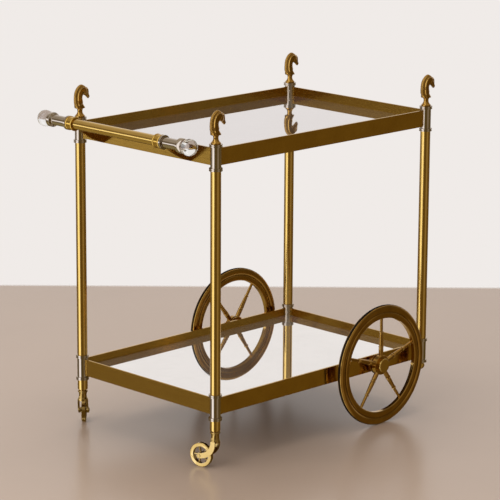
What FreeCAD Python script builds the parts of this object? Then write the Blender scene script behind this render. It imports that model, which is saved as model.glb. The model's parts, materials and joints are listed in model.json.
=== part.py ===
"""Two-tier bar cart: brass posts and rails, mirror shelves, horse-head finials, spoked wheels and casters.

Millimetres, +Z up, floor at Z = 0. The push handle is at -X and the big wheels are at +X; the near side
is -Y and the far side is +Y. The origin is on the floor, in the trays' middle plane and under the middle of
the overall length.
"""
import FreeCAD, Part
import math
import os
import re

import Sketcher
from FreeCAD import Placement, Rotation, Vector

# Driving dimensions: alias, size and what it measures
SIZES = [
    ("post_pitch_length", 640, "post axis to post axis along the cart"),
    ("post_pitch_width", 418, "post axis to post axis across the cart"),
    ("post_diameter", 22, "brass post tube"),
    ("post_wall", 1.5, "wall of the post and handle tubes"),
    ("tie_rod_diameter", 8, "steel rod that clamps a post's stack"),
    ("close_fit", 0.05, "radial clearance of pins, rods and spigots"),
    ("end_gap", 1, "end of a rod or screw to the bottom of its hole"),
    ("axle_drop", 18.2, "lower rail's top edge above the wheel axles"),
    ("tray_spacing", 527.4, "upper rail's top edge to lower rail's top edge"),
    ("rail_height", 36.5, "height of a tray rail"),
    ("rail_thickness", 4, "thickness of a tray rail"),
    ("ledge_width", 10, "glazing ledge inside a rail"),
    ("ledge_thickness", 3, "thickness of the ledge"),
    ("ledge_inset", 16, "post axis to the end of a ledge"),
    ("mirror_thickness", 4, "mirror glass"),
    ("board_thickness", 3, "backing board under the mirror"),
    ("upper_mirror_drop", 20, "upper rail's top edge to the mirror"),
    ("lower_mirror_drop", 16.5, "lower rail's top edge to the mirror"),
    ("mirror_edge_gap", 0.5, "mirror edge to rail and sleeve"),
    ("sleeve_diameter", 22.6, "nickel sleeve"),
    ("sleeve_length", 55.5, "height of a sleeve over its collars"),
    ("sleeve_rise", 9, "sleeve above its rail's top edge"),
    ("collar_diameter", 28, "collars of a sleeve"),
    ("collar_height", 6.1, "height of a collar"),
    ("collar_lip", 2.2, "each of the two lips of a collar"),
    ("collar_groove", 1.2, "depth of the groove between the lips"),
    ("spigot_length", 8, "sleeve spigot inside the post"),
    ("lock_screw_diameter", 4, "lock screw of a sleeve"),
    ("lock_head_diameter", 6.4, "head of the lock screw"),
    ("lock_head_height", 1.8, "head of the lock screw above the sleeve"),
    ("lock_screw_drop", 10, "rail's top edge to the lock screw"),
    ("lock_screw_length", 5.5, "shank of the lock screw"),
    ("finial_base_diameter", 21, "foot of a finial"),
    ("finial_neck_diameter", 11, "waist under the horse's head"),
    ("finial_base_height", 18.5, "turned base of a finial"),
    ("finial_bore_depth", 13, "tapped hole for the tie rod"),
    ("horse_reach", 25, "finial axis to the muzzle"),
    ("horse_height", 50.5, "head and neck above the turned base"),
    ("horse_thickness", 13.5, "horse's neck from side to side"),
    ("handle_reach", 85, "handle axis out from the handle-end posts"),
    ("handle_rise", 15, "handle axis above the upper rail's top edge"),
    ("handle_diameter", 22, "brass handle bar"),
    ("bracket_pitch", 268, "handle bracket to handle bracket"),
    ("bracket_thickness", 6, "plate of a bracket"),
    ("bracket_boss_diameter", 27.4, "boss round the handle bar"),
    ("bracket_bead_width", 5, "rounded bead at each end of that boss"),
    ("bracket_boss_length", 20, "length of that boss"),
    ("bracket_curve", 180, "bend of a bracket's two edges"),
    ("bracket_top_drop", 3, "rail's top edge to the top of a bracket's foot"),
    ("bracket_screw_diameter", 3, "screws through the end rail"),
    ("bracket_screw_depth", 14, "hole for such a screw, from the rail's middle plane"),
    ("bracket_screw_drop", 8, "rail's top edge to the upper screw"),
    ("bracket_screw_pitch", 8, "upper screw to lower screw"),
    ("screw_head_diameter", 5.4, "head of such a screw"),
    ("screw_head_height", 1.6, "height of that head"),
    ("screw_head_sunk", 0.2, "head below the rail's inner face"),
    ("screw_head_gap", 0.3, "head to its recess all round"),
    ("grip_ring_diameter", 30, "ring between boss and grip"),
    ("grip_ring_width", 5, "width of that ring"),
    ("grip_diameter", 22, "nickel grip"),
    ("grip_length", 42, "grip from its ring to the cup"),
    ("cup_diameter", 31, "cup that holds a ball"),
    ("cup_length", 15, "length of the cup"),
    ("cup_bevel", 1.5, "bevel at the cup's mouth"),
    ("ball_diameter", 35, "glass ball"),
    ("ball_seat_depth", 2.5, "ball sunk in its cup"),
    ("ball_seat_gap", 0.3, "ball to the hollow of its cup"),
    ("ball_bore_depth", 13, "hole in the ball for the rod"),
    ("wheel_radius", 134.4, "big wheel over its tyre"),
    ("wheel_inset", 157, "wheel axle back from the wheel-end posts"),
    ("wheel_offset", 22.4, "wheel's middle plane outside the post axes"),
    ("near_wheel_turn", 0, "turn of the near wheel's spokes from upright"),
    ("far_wheel_turn", -34, "turn of the far wheel's spokes from upright"),
    ("rim_depth", 28, "rim from inner edge to outer edge"),
    ("rim_width", 13, "widest part of the rim"),
    ("rim_band_width", 10, "flat inner band of the rim"),
    ("rim_band_depth", 12.5, "depth of the flat inner band"),
    ("rim_groove_width", 2, "groove between the rim's two bands"),
    ("rim_groove_depth", 1.3, "depth of that groove"),
    ("rim_bevel", 1, "bevel at the rim's bore"),
    ("rim_shoulder", 1.5, "rounding of the outer band beside the groove"),
    ("rim_lip", 1.2, "edge of the rim beside the tread"),
    ("tyre_width", 6, "rubber tread set in the rim"),
    ("tyre_sunk", 3, "tread below the rim's edge"),
    ("tyre_proud", 1, "tread above the rim's edge"),
    ("tyre_bevel", 0.8, "bevel of the tread's edges"),
    ("spoke_count", 5, "spokes of a big wheel"),
    ("spoke_tip_diameter", 6.5, "spoke at the rim"),
    ("spoke_root_diameter", 10, "spoke at the hub"),
    ("spoke_bead_diameter", 11, "turned beads of a spoke"),
    ("spoke_bead_width", 3.4, "width of a bead"),
    ("spoke_tenon_diameter", 5, "pegs at a spoke's two ends"),
    ("spoke_tenon_length", 5, "length of a peg"),
    ("hub_diameter", 44, "hub flange"),
    ("hub_barrel_diameter", 38, "hub barrel behind the flange"),
    ("hub_outer_face", 5, "hub in front of the wheel's middle plane"),
    ("hub_inner_face", 13, "hub behind the wheel's middle plane"),
    ("hub_flange_width", 11, "width of the spoked flange"),
    ("hub_lip_width", 3, "lip at the back of the hub"),
    ("hub_bevel", 1.5, "bevel of the hub's edges"),
    ("hub_cap_diameter", 31, "hub cap"),
    ("hub_cap_height", 7.5, "hub cap in front of the hub"),
    ("hub_cap_wall", 2, "wall of the hub cap"),
    ("hub_cap_rounding", 2, "rounding of the hub cap's edge"),
    ("axle_diameter", 12, "steel stub axle"),
    ("axle_nut_diameter", 20, "round nut inside the hub cap"),
    ("axle_nut_width", 4, "width of that nut"),
    ("axle_boss_diameter", 32, "boss on the rail round the axle"),
    ("axle_boss_wall", 3, "wall of that boss beside the hub"),
    ("running_gap", 0.4, "end play of wheels and casters"),
    ("foot_height", 22, "caster foot under the lower sleeve"),
    ("foot_rod_depth", 9, "tie rod inside the foot or button"),
    ("swivel_gap", 3, "caster foot to the fork"),
    ("stem_diameter", 10, "caster stem"),
    ("stem_depth", 10, "stem inside the foot"),
    ("stem_socket", 14, "stem inside the fork"),
    ("washer_diameter", 16, "thrust washer of a caster"),
    ("fork_neck_height", 20, "turned neck of a fork"),
    ("fork_lip_diameter", 22, "top of the neck"),
    ("fork_waist_diameter", 17, "waist of the neck"),
    ("fork_bevel", 1, "bevel at the top of the neck"),
    ("fork_width", 22.5, "fork over its two arms"),
    ("fork_arm_thickness", 3.4, "plate of an arm"),
    ("fork_arm_width", 11, "arm seen from the side"),
    ("caster_trail", 33, "swivel axis to wheel axle"),
    ("caster_radius", 26, "caster wheel"),
    ("caster_ring_depth", 7.5, "ring of a caster wheel"),
    ("caster_wheel_width", 9, "width of a caster wheel"),
    ("caster_bevel", 1, "bevel of its outer edges"),
    ("caster_hub_diameter", 12, "hub of a caster wheel"),
    ("caster_spoke_diameter", 4, "spoke of a caster wheel"),
    ("caster_spoke_count", 5, "spokes of a caster wheel"),
    ("caster_pin_diameter", 6, "axle pin of a caster wheel"),
    ("pin_head_diameter", 8.4, "riveted head of that pin"),
    ("pin_head_height", 1, "height of that head"),
    ("near_caster_turn", 105, "rest heading of the near caster's trail, from +X towards +Y"),
    ("far_caster_turn", 45, "rest heading of the far caster's trail"),
    ("button_diameter", 19, "ball button under a wheel-end post"),
    ("button_height", 17, "height of that button"),
]

# Levels and places worked out from the sizes
DERIVED = {
    "half_length": "post_pitch_length / 2",
    "half_width": "post_pitch_width / 2",
    "tray_x": "(handle_reach + ball_diameter / 2 - horse_reach) / 2",
    "handle_post_x": "tray_x - half_length",
    "wheel_post_x": "tray_x + half_length",
    "low_rail_level": "wheel_radius + axle_drop",
    "top_rail_level": "low_rail_level + tray_spacing",
    "upper_sleeve_bottom": "top_rail_level + sleeve_rise - sleeve_length",
    "lower_sleeve_bottom": "low_rail_level + sleeve_rise - sleeve_length",
    "lower_sleeve_top": "low_rail_level + sleeve_rise",
    "finial_level": "top_rail_level + sleeve_rise",
    "post_length": "upper_sleeve_bottom - lower_sleeve_top",
    "rod_bottom": "lower_sleeve_bottom - foot_rod_depth",
    "rod_top": "finial_level + finial_bore_depth - end_gap",
    "rod_radius": "tie_rod_diameter / 2",
    "rod_hole": "rod_radius + close_fit",
    "post_bore": "post_diameter / 2 - post_wall",
    "spigot_radius": "post_bore - close_fit",
    "sleeve_radius": "sleeve_diameter / 2",
    "rail_inner": "rail_thickness / 2",
    "screw_seat": "rail_inner - screw_head_sunk - screw_head_height",
    "upper_stack": "upper_mirror_drop + mirror_thickness + board_thickness",
    "lower_stack": "lower_mirror_drop + mirror_thickness + board_thickness",
    "handle_x": "handle_post_x - handle_reach",
    "handle_z": "top_rail_level + handle_rise",
    "boss_end": "(bracket_pitch + bracket_boss_length) / 2",
    "handle_bore": "handle_diameter / 2 - post_wall",
    "grip_end": "boss_end + grip_ring_width + grip_length",
    "cup_end": "grip_end + cup_length",
    "ball_y": "cup_end + ball_diameter / 2 - ball_seat_depth",
    "handle_rod_end": "ball_y - ball_diameter / 2 + ball_bore_depth - end_gap",
    "wheel_x": "wheel_post_x - wheel_inset",
    "wheel_y": "half_width + wheel_offset",
    "rim_radius": "wheel_radius - tyre_proud",
    "rim_bore": "rim_radius - rim_depth",
    "rail_face": "half_width + rail_inner",
    "axle_hole": "axle_diameter / 2 + close_fit",
    "axle_boss_width": "wheel_y - hub_inner_face - rail_face - running_gap",
    "axle_end": "wheel_y + hub_outer_face + running_gap + axle_nut_width",
    "foot_bottom": "lower_sleeve_bottom - foot_height",
    "fork_top": "foot_bottom - swivel_gap",
    "fork_crown": "fork_top - fork_neck_height",
    "stem_hole": "stem_diameter / 2 + close_fit",
    "arm_inner": "fork_width / 2 - fork_arm_thickness",
    "arm_radius": "fork_arm_width / 2",
    "pin_hole": "caster_pin_diameter / 2 + close_fit",
}

POSTS = {
    "near_handle": ("handle_post_x", "-half_width"),
    "far_handle": ("handle_post_x", "half_width"),
    "near_wheel": ("wheel_post_x", "-half_width"),
    "far_wheel": ("wheel_post_x", "half_width"),
}
SIDES = {"near": -1, "far": 1}
UPRIGHT = Rotation()

# Horse's neck and head as a run of sections that fan round the throat: back edge and front edge (x, z) and
# thickness, as shares of the reach, the height above the turned base and the neck's thickness
HORSE_SECTIONS = [
    (-0.42, 0.00, 0.44, 0.00, 1.28),
    (-0.54, 0.12, 0.36, 0.09, 1.16),
    (-0.58, 0.29, 0.18, 0.25, 1.02),
    (-0.57, 0.48, 0.10, 0.40, 0.97),
    (-0.49, 0.67, 0.12, 0.51, 0.96),
    (-0.30, 0.83, 0.21, 0.58, 0.97),
    (-0.01, 0.94, 0.34, 0.59, 0.98),
    (0.33, 0.95, 0.45, 0.57, 0.97),
    (0.62, 0.885, 0.56, 0.53, 0.90),
    (0.84, 0.80, 0.66, 0.49, 0.78),
    (0.91, 0.69, 0.74, 0.45, 0.66),
    (0.95, 0.56, 0.82, 0.41, 0.55),
    (1.00, 0.44, 0.90, 0.365, 0.44),
]
# Mane from the withers up over the poll to the forelock, in the same terms
MANE_SECTIONS = [
    (-0.47, 0.04, -0.28, 0.05, 0.66),
    (-0.60, 0.17, -0.38, 0.18, 0.68),
    (-0.63, 0.34, -0.41, 0.34, 0.68),
    (-0.62, 0.52, -0.41, 0.50, 0.68),
    (-0.54, 0.71, -0.34, 0.65, 0.68),
    (-0.34, 0.87, -0.19, 0.78, 0.68),
    (-0.04, 0.98, 0.01, 0.87, 0.66),
    (0.28, 0.99, 0.26, 0.90, 0.60),
    (0.55, 0.925, 0.46, 0.84, 0.48),
]
# Sections are squarish ovals: 2 is an ellipse, and a higher number has fuller corners
HEAD_SQUARENESS = 3
MANE_SQUARENESS = 2
SECTION_STEPS = 6
SEW_TOLERANCE = 1e-5
# Places of a spoke's two beads, as shares of its run from hub to rim
INNER_BEAD = 0.20
OUTER_BEAD = 0.64

doc = FreeCAD.newDocument("bar_cart")
sheet = doc.addObject("Spreadsheet::Sheet", "sizes")
for row, (alias, number, meaning) in enumerate(SIZES, 1):
    sheet.set(f"A{row}", alias)
    sheet.set(f"B{row}", str(number))
    sheet.setAlias(f"B{row}", alias)
    sheet.set(f"C{row}", meaning)
doc.recompute()
ALIASES = {alias for alias, number, meaning in SIZES}
nodes = {}


def bind(formula):
    """Write a formula of size names as an expression on the sheet."""
    def known(match):
        word = match.group(0)
        if word in DERIVED:
            return f"({bind(DERIVED[word])})"
        return f"sizes.{word}" if word in ALIASES else word
    return re.sub(r"[a-z][a-z_]*", known, str(formula))


def size(formula):
    """The number that a formula of size names gives now."""
    return float(sheet.evalExpression(bind(formula)))


def place(piece, x="0", y="0", z="0", turn=UPRIGHT):
    """Turn a piece about its own origin and bind that origin to a place."""
    piece.Placement = Placement(Vector(), turn)
    for axis, formula in zip("xyz", (x, y, z)):
        piece.setExpression(f"Placement.Base.{axis}", bind(formula))
    return piece


def keep(name, piece):
    """Register a finished sub-part under its node name."""
    piece.Label = name
    nodes[name] = piece
    return piece


def new_body(name):
    body = doc.addObject("PartDesign::Body", f"{name}_body")
    body.Label = f"{name}_body"
    return body


def new_sketch(body, plane):
    sketch = body.newObject("Sketcher::SketchObject", f"{body.Name}_sketch")
    origin_plane = [item for item in body.Origin.OriginFeatures if item.Role == plane][0]
    sketch.AttachmentSupport = [(origin_plane, "")]
    sketch.MapMode = "FlatFace"
    return sketch


def pin_point(sketch, geometry, end, x, y):
    """Hold one end of a sketch line at a bound place."""
    for kind, formula in (("DistanceX", x), ("DistanceY", y)):
        index = sketch.addConstraint(Sketcher.Constraint(kind, -1, 1, geometry, end, size(formula)))
        sketch.setExpression(f"Constraints[{index}]", bind(formula))


def outline(body, plane, corners):
    """Closed sketch through corners (x, y) or (x, y, radius): the radius bends the side that starts there,
    to the left when it is positive and to the right when it is negative."""
    sketch = new_sketch(body, plane)
    starts = [Vector(size(corner[0]), size(corner[1]), 0) for corner in corners]
    ends = []
    for index, corner in enumerate(corners):
        start, stop = starts[index], starts[(index + 1) % len(starts)]
        if len(corner) == 2:
            sketch.addGeometry(Part.LineSegment(start, stop), False)
            ends.append((1, 2))
            continue
        radius = size(corner[2])
        chord = stop - start
        rise = math.sqrt(max(radius ** 2 - (chord.Length / 2) ** 2, 0)) * math.copysign(1, radius)
        centre = (start + stop) * 0.5 + Vector(-chord.y, chord.x, 0).normalize() * rise
        first, last = (start, stop) if radius > 0 else (stop, start)
        angles = [math.atan2(point.y - centre.y, point.x - centre.x) for point in (first, last)]
        circle = Part.Circle(centre, Vector(0, 0, 1), abs(radius))
        geometry = sketch.addGeometry(Part.ArcOfCircle(circle, angles[0], angles[1]), False)
        ends.append((1, 2) if radius > 0 else (2, 1))
        constraint = sketch.addConstraint(Sketcher.Constraint("Radius", geometry, abs(radius)))
        sketch.setExpression(f"Constraints[{constraint}]", bind(f"abs({corner[2]})"))
    for index, corner in enumerate(corners):
        following = (index + 1) % len(corners)
        joint = Sketcher.Constraint("Coincident", index, ends[index][1], following, ends[following][0])
        sketch.addConstraint(joint)
        pin_point(sketch, index, ends[index][0], corner[0], corner[1])
    return sketch


def circles(body, plane, places, radius):
    """Sketch of equal circles at bound places."""
    sketch = new_sketch(body, plane)
    for x, y in places:
        circle = Part.Circle(Vector(size(x), size(y), 0), Vector(0, 0, 1), size(radius))
        geometry = sketch.addGeometry(circle, False)
        pin_point(sketch, geometry, 3, x, y)
        index = sketch.addConstraint(Sketcher.Constraint("Radius", geometry, size(radius)))
        sketch.setExpression(f"Constraints[{index}]", bind(radius))
    return sketch


def pad(body, sketch, length):
    """Pad a sketch equally to both sides of its plane."""
    feature = body.newObject("PartDesign::Pad", f"{body.Name}_pad")
    feature.Profile = sketch
    feature.SideType = "Symmetric"
    feature.setExpression("Length", bind(length))
    return feature


def pocket(body, sketch):
    """Cut a sketch through the body to both sides of its plane."""
    feature = body.newObject("PartDesign::Pocket", f"{body.Name}_pocket")
    feature.Profile = sketch
    feature.SideType = "Symmetric"
    feature.Type = "ThroughAll"
    return feature


def turned(name, corners):
    """Body turned about its own Z axis from a profile of (radius, height) corners."""
    body = new_body(name)
    sketch = outline(body, "XZ_Plane", corners)
    feature = body.newObject("PartDesign::Revolution", f"{name}_turning")
    feature.Profile = sketch
    feature.ReferenceAxis = (sketch, ["V_Axis"])
    feature.Angle = 360
    return body


def ring(name, inner, outer, low, high):
    """Turned tube or washer."""
    return turned(name, [(inner, low), (outer, low), (outer, high), (inner, high)])


def rod(name, radius, length):
    """Plain round bar along its own Z axis."""
    piece = doc.addObject("Part::Cylinder", f"{name}_rod")
    piece.setExpression("Radius", bind(radius))
    piece.setExpression("Height", bind(length))
    return piece


def group(name, pieces):
    """One node of several separate solids."""
    compound = doc.addObject("Part::Compound", f"{name}_group")
    compound.Links = pieces
    return keep(name, compound)


def cut(name, base, tools):
    """Base with every tool taken out."""
    tool = tools[0]
    if len(tools) > 1:
        tool = doc.addObject("Part::Compound", f"{name}_tools")
        tool.Links = tools
    feature = doc.addObject("Part::Cut", f"{name}_cut")
    feature.Base = base
    feature.Tool = tool
    return feature


def fuse(name, pieces):
    feature = doc.addObject("Part::MultiFuse", f"{name}_fuse")
    feature.Shapes = pieces
    return feature


def outward(side):
    """Turn that lays a piece's own Z axis square to the cart's side, pointing away from it."""
    return Rotation(Vector(1, 0, 0), -90 * SIDES[side])


def across(side, formula):
    """A distance from the cart's middle plane towards one side."""
    return f"{SIDES[side]} * ({formula})"


# Posts, sleeves and tie rods

def collar(bottom):
    """Profile of a collar with two lips, from its bottom edge up."""
    edge = "collar_diameter / 2"
    waist = f"{edge} - collar_groove"
    return [
        (edge, bottom),
        (edge, f"{bottom} + collar_lip"),
        (waist, f"{bottom} + collar_lip"),
        (waist, f"{bottom} + collar_height - collar_lip"),
        (edge, f"{bottom} + collar_height - collar_lip"),
        (edge, f"{bottom} + collar_height"),
    ]


def sleeve(name, x, y, bottom, rail_level, spigot_up, inward):
    """Nickel sleeve between two collars, with a spigot for the post and a hole for its lock screw."""
    profile = [("sleeve_radius", "collar_height"), ("sleeve_radius", "sleeve_length - collar_height")]
    profile = collar("0") + profile + collar("sleeve_length - collar_height")
    if spigot_up:
        tip = "sleeve_length + spigot_length"
        profile = [("rod_hole", "0")] + profile
        profile += [("spigot_radius", "sleeve_length"), ("spigot_radius", tip), ("rod_hole", tip)]
    else:
        tip = "-spigot_length"
        profile = [("rod_hole", tip), ("spigot_radius", tip), ("spigot_radius", "0")] + profile
        profile += [("rod_hole", "sleeve_length")]
    body = place(turned(name, profile), x, y, bottom)
    hole = rod(f"{name}_screw_hole", "lock_screw_diameter / 2 + close_fit", "sleeve_diameter")
    place(hole, x, y, f"{rail_level} - lock_screw_drop", inward)
    return cut(name, body, [hole])


def lock_screw(name, x, y, rail_level, inward, heading):
    """Round-headed screw through a sleeve's inner side; heading is its (x, y) direction."""
    profile = [
        ("0", "-lock_screw_length"),
        ("lock_screw_diameter / 2", "-lock_screw_length"),
        ("lock_screw_diameter / 2", "0"),
        ("lock_head_diameter / 2", "0"),
        ("lock_head_diameter / 2", "lock_head_height * 0.4"),
        ("lock_head_diameter * 0.3", "lock_head_height"),
        ("0", "lock_head_height"),
    ]
    seat = "(sleeve_radius + close_fit)"
    body = turned(name, profile)
    return place(body, f"{x} + {heading[0]} * {seat}", f"{y} + {heading[1]} * {seat}",
                 f"{rail_level} - lock_screw_drop", inward)


def build_posts():
    rods, screws = [], []
    sleeves = {"upper_sleeves": [], "lower_sleeves": []}
    for corner, (x, y) in POSTS.items():
        tube = ring(f"post_tube_{corner}", "post_bore", "post_diameter / 2", "0", "post_length")
        keep(f"post_tube_{corner}", place(tube, x, y, "lower_sleeve_top"))
        bar = rod(f"tie_rod_{corner}", "rod_radius", "rod_top - rod_bottom")
        rods.append(place(bar, x, y, "rod_bottom"))
        heading = Vector(1 if "handle" in corner else -1, 1 if "near" in corner else -1, 0).normalize()
        inward = Rotation(Vector(0, 0, 1), heading)
        for tier, level, bottom in (("upper", "top_rail_level", "upper_sleeve_bottom"),
                                    ("lower", "low_rail_level", "lower_sleeve_bottom")):
            name = f"{tier}_sleeve_{corner}"
            sleeves[f"{tier}_sleeves"].append(sleeve(name, x, y, bottom, level, tier == "lower", inward))
            screws.append(lock_screw(f"{name}_screw", x, y, level, inward, heading))
    group("tie_rods", rods)
    group("lock_screws", screws)
    for name, pieces in sleeves.items():
        group(name, pieces)


# Horse-head finials

def horse_x(share):
    return f"({share} * horse_reach)"


def horse_z(share):
    return f"(finial_base_height + {share} * horse_height)"


def half_section(section, squareness):
    """Points round the far half of one squarish section, from its back edge to its front edge."""
    back_x, back_z, front_x, front_z, thick = section
    back = Vector(size(horse_x(back_x)), 0, size(horse_z(back_z)))
    front = Vector(size(horse_x(front_x)), 0, size(horse_z(front_z)))
    half = Vector(0, thick * size("horse_thickness") / 2, 0)
    middle, reach = (back + front) * 0.5, (back - front) * 0.5
    points = []
    for step in range(SECTION_STEPS + 1):
        turn = math.pi * step / SECTION_STEPS
        along = math.copysign(abs(math.cos(turn)) ** (2 / squareness), math.cos(turn))
        points.append(middle + reach * along + half * math.sin(turn) ** (2 / squareness))
    return points


def carved(name, sections, squareness, x, y):
    """Closed skin through a run of sections and their mirror image across the horse's middle plane."""
    rows = [half_section(section, squareness) for section in sections]
    skin = Part.BSplineSurface()
    skin.interpolate(rows)
    far_half = skin.toShape()
    near_half = far_half.mirror(Vector(), Vector(0, 1, 0))
    ends = []
    for row in (rows[0], rows[-1]):
        side = row[SECTION_STEPS // 2]
        seams = [min(half.Edges, key=lambda edge: edge.distToShape(Part.Vertex(point))[0])
                 for half, point in ((far_half, side), (near_half, Vector(side.x, -side.y, side.z)))]
        ends.append(Part.Face(Part.Wire(Part.__sortEdges__(seams))))
    shell = Part.Shell([far_half, near_half] + ends)
    shell.sewShape()
    solid = Part.Solid(shell)
    solid.fix(SEW_TOLERANCE, SEW_TOLERANCE, SEW_TOLERANCE)
    piece = doc.addObject("Part::Feature", name)
    piece.Shape = solid
    return place(piece, x, y, "finial_level")


def finial_base(name, x, y):
    """Turned foot, waist and flare with the tapped hole for the tie rod."""
    foot, waist, rise = "finial_base_diameter / 2", "finial_neck_diameter / 2", "finial_base_height"
    body = turned(f"{name}_base", [
        ("rod_hole", "0"),
        (foot, "0"),
        (foot, f"{rise} * 0.14"),
        (f"{foot} * 0.86", f"{rise} * 0.22", f"-{rise} * 0.62"),
        (waist, f"{rise} * 0.60"),
        (waist, f"{rise} * 0.74", f"-{rise} * 0.45"),
        (f"{waist} * 1.42", rise),
        ("0", rise),
        ("0", "finial_bore_depth"),
        ("rod_hole", "finial_bore_depth"),
    ])
    return place(body, x, y, "finial_level")


def build_finials():
    for corner, (x, y) in POSTS.items():
        name = f"horse_finial_{corner}"
        head = carved(f"{name}_head", HORSE_SECTIONS, HEAD_SQUARENESS, x, y)
        mane = carved(f"{name}_mane", MANE_SECTIONS, MANE_SQUARENESS, x, y)
        keep(name, fuse(name, [finial_base(name, x, y), head, mane]))


# Trays

def rail(name, pitch, stack):
    """Flat bar with a glazing ledge, along its own X axis with +Y inwards, coped to the sleeves."""
    body = new_body(name)
    face, back = "rail_inner", "-rail_inner"
    foot = "-rail_height"
    web = outline(body, "YZ_Plane", [(back, foot), (face, foot), (face, "0"), (back, "0")])
    pad(body, web, pitch)
    tip = "rail_inner + ledge_width"
    low = f"-{stack} - ledge_thickness"
    ledge = outline(body, "YZ_Plane", [("0", low), (tip, low), (tip, f"-{stack}"), ("0", f"-{stack}")])
    pad(body, ledge, f"{pitch} - 2 * ledge_inset")
    ends = [(f"{sign}{pitch} / 2", "0") for sign in ("-", "")]
    pocket(body, circles(body, "XY_Plane", ends, "sleeve_radius + close_fit"))
    return body


def screw_spots():
    """Heights of a bracket's two screws below the upper rail's top edge."""
    return ["-bracket_screw_drop", "-bracket_screw_drop - bracket_screw_pitch"]


def screw_recesses():
    """Round pockets inside the end rail that take the heads of the bracket screws."""
    pockets = []
    for side in SIDES:
        for spot in screw_spots():
            recess = rod("screw_recess", "screw_head_diameter / 2 + screw_head_gap", "rail_thickness")
            pockets.append(place(recess, "handle_post_x + screw_seat", across(side, "bracket_pitch / 2"),
                                 f"top_rail_level + {spot}", Rotation(Vector(0, 1, 0), 90)))
    return pockets


def build_tray(tier, level, stack, drop):
    walls = {
        "near": ("post_pitch_length", "tray_x", "-half_width", 0),
        "far": ("post_pitch_length", "tray_x", "half_width", 180),
        "handle_end": ("post_pitch_width", "handle_post_x", "0", -90),
        "wheel_end": ("post_pitch_width", "wheel_post_x", "0", 90),
    }
    for wall, (pitch, x, y, turn) in walls.items():
        name = f"{tier}_rail_{wall}"
        body = rail(name, pitch, stack)
        if tier == "lower" and wall in SIDES:
            along = f"{-SIDES[wall]} * (wheel_x - tray_x)"
            hole = circles(body, "XZ_Plane", [(along, "-axle_drop")], "axle_hole")
            pocket(body, hole)
        if (tier, wall) == ("upper", "handle_end"):
            spots = [(f"{sign}bracket_pitch / 2", drop_z) for sign in ("-", "") for drop_z in screw_spots()]
            pocket(body, circles(body, "XZ_Plane", spots, "bracket_screw_diameter / 2 + close_fit"))
        place(body, x, y, level, Rotation(Vector(0, 0, 1), turn))
        keep(name, cut(name, body, screw_recesses()) if (tier, wall) == ("upper", "handle_end") else body)
    mirror_top = f"{level} - {drop}"
    mirror_middle = f"{mirror_top} - mirror_thickness / 2"
    keep(f"{tier}_mirror", panel(f"{tier}_mirror", "mirror_thickness", mirror_middle))
    board_middle = f"{mirror_top} - mirror_thickness - board_thickness / 2"
    keep(f"{tier}_backing_board", panel(f"{tier}_backing_board", "board_thickness", board_middle))


def panel(name, thickness, middle):
    """Shelf panel inside the rails, with its corners cut round the sleeves."""
    body = new_body(name)
    x = "(half_length - rail_inner - mirror_edge_gap)"
    y = "(half_width - rail_inner - mirror_edge_gap)"
    pad(body, outline(body, "XY_Plane", [(f"-{x}", f"-{y}"), (x, f"-{y}"), (x, y), (f"-{x}", y)]), thickness)
    corners = [(f"{a}half_length", f"{b}half_width") for a in ("-", "") for b in ("-", "")]
    pocket(body, circles(body, "XY_Plane", corners, "sleeve_radius + mirror_edge_gap"))
    return place(body, "tray_x", "0", middle)


# Push handle

def bracket(side):
    """Curved arm from the end rail to a beaded boss round the handle bar."""
    name = f"handle_bracket_{side}"
    arm = new_body(name)
    foot = "handle_reach - rail_inner"
    boss = "bracket_boss_diameter / 2"
    corners = [
        (foot, "-handle_rise - rail_height"),
        (foot, "-handle_rise - bracket_top_drop", "-bracket_curve"),
        (f"{boss} * 0.20", f"{boss} * 0.85"),
        (f"{boss} * 0.60", f"-{boss} * 0.53", "bracket_curve"),
    ]
    pad(arm, outline(arm, "XZ_Plane", corners), "bracket_thickness")
    pad(arm, circles(arm, "XZ_Plane", [("0", "0")], boss), "bracket_boss_length")
    pocket(arm, circles(arm, "XZ_Plane", [("0", "0")], "handle_diameter / 2 + close_fit"))
    place(arm, "handle_x", across(side, "bracket_pitch / 2"), "handle_z")
    bore, end = "handle_diameter / 2 + close_fit", "bracket_boss_length / 2"
    beads = []
    for low, high in ((f"-{end}", f"bracket_bead_width - {end}"), (f"{end} - bracket_bead_width", end)):
        bead = turned(f"{name}_bead", [
            (bore, low), (boss, low, "bracket_bead_width * 0.6"), (boss, high), (bore, high),
        ])
        beads.append(place(bead, "handle_x", across(side, "bracket_pitch / 2"), "handle_z", outward(side)))
    holes = [rod(f"{name}_hole", "bracket_screw_diameter / 2 + close_fit", "bracket_screw_depth")
             for spot in screw_spots()]
    for hole, spot in zip(holes, screw_spots()):
        place(hole, "handle_post_x", across(side, "bracket_pitch / 2"), f"top_rail_level + {spot}",
              Rotation(Vector(0, 1, 0), -90))
    keep(name, cut(name, fuse(name, [arm] + beads), holes))


def bracket_screw(name, side, spot):
    """Screw from a recess inside the end rail into a bracket's foot."""
    shank, head = "bracket_screw_diameter / 2", "screw_head_diameter / 2"
    body = turned(name, [
        ("0", "end_gap - bracket_screw_depth"),
        (shank, "end_gap - bracket_screw_depth"),
        (shank, "screw_seat"),
        (head, "screw_seat"),
        (head, "screw_seat + screw_head_height * 0.6"),
        (f"{head} * 0.6", "screw_seat + screw_head_height"),
        ("0", "screw_seat + screw_head_height"),
    ])
    return place(body, "handle_post_x", across(side, "bracket_pitch / 2"), f"top_rail_level + {spot}",
                 Rotation(Vector(0, 1, 0), 90))


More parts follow.
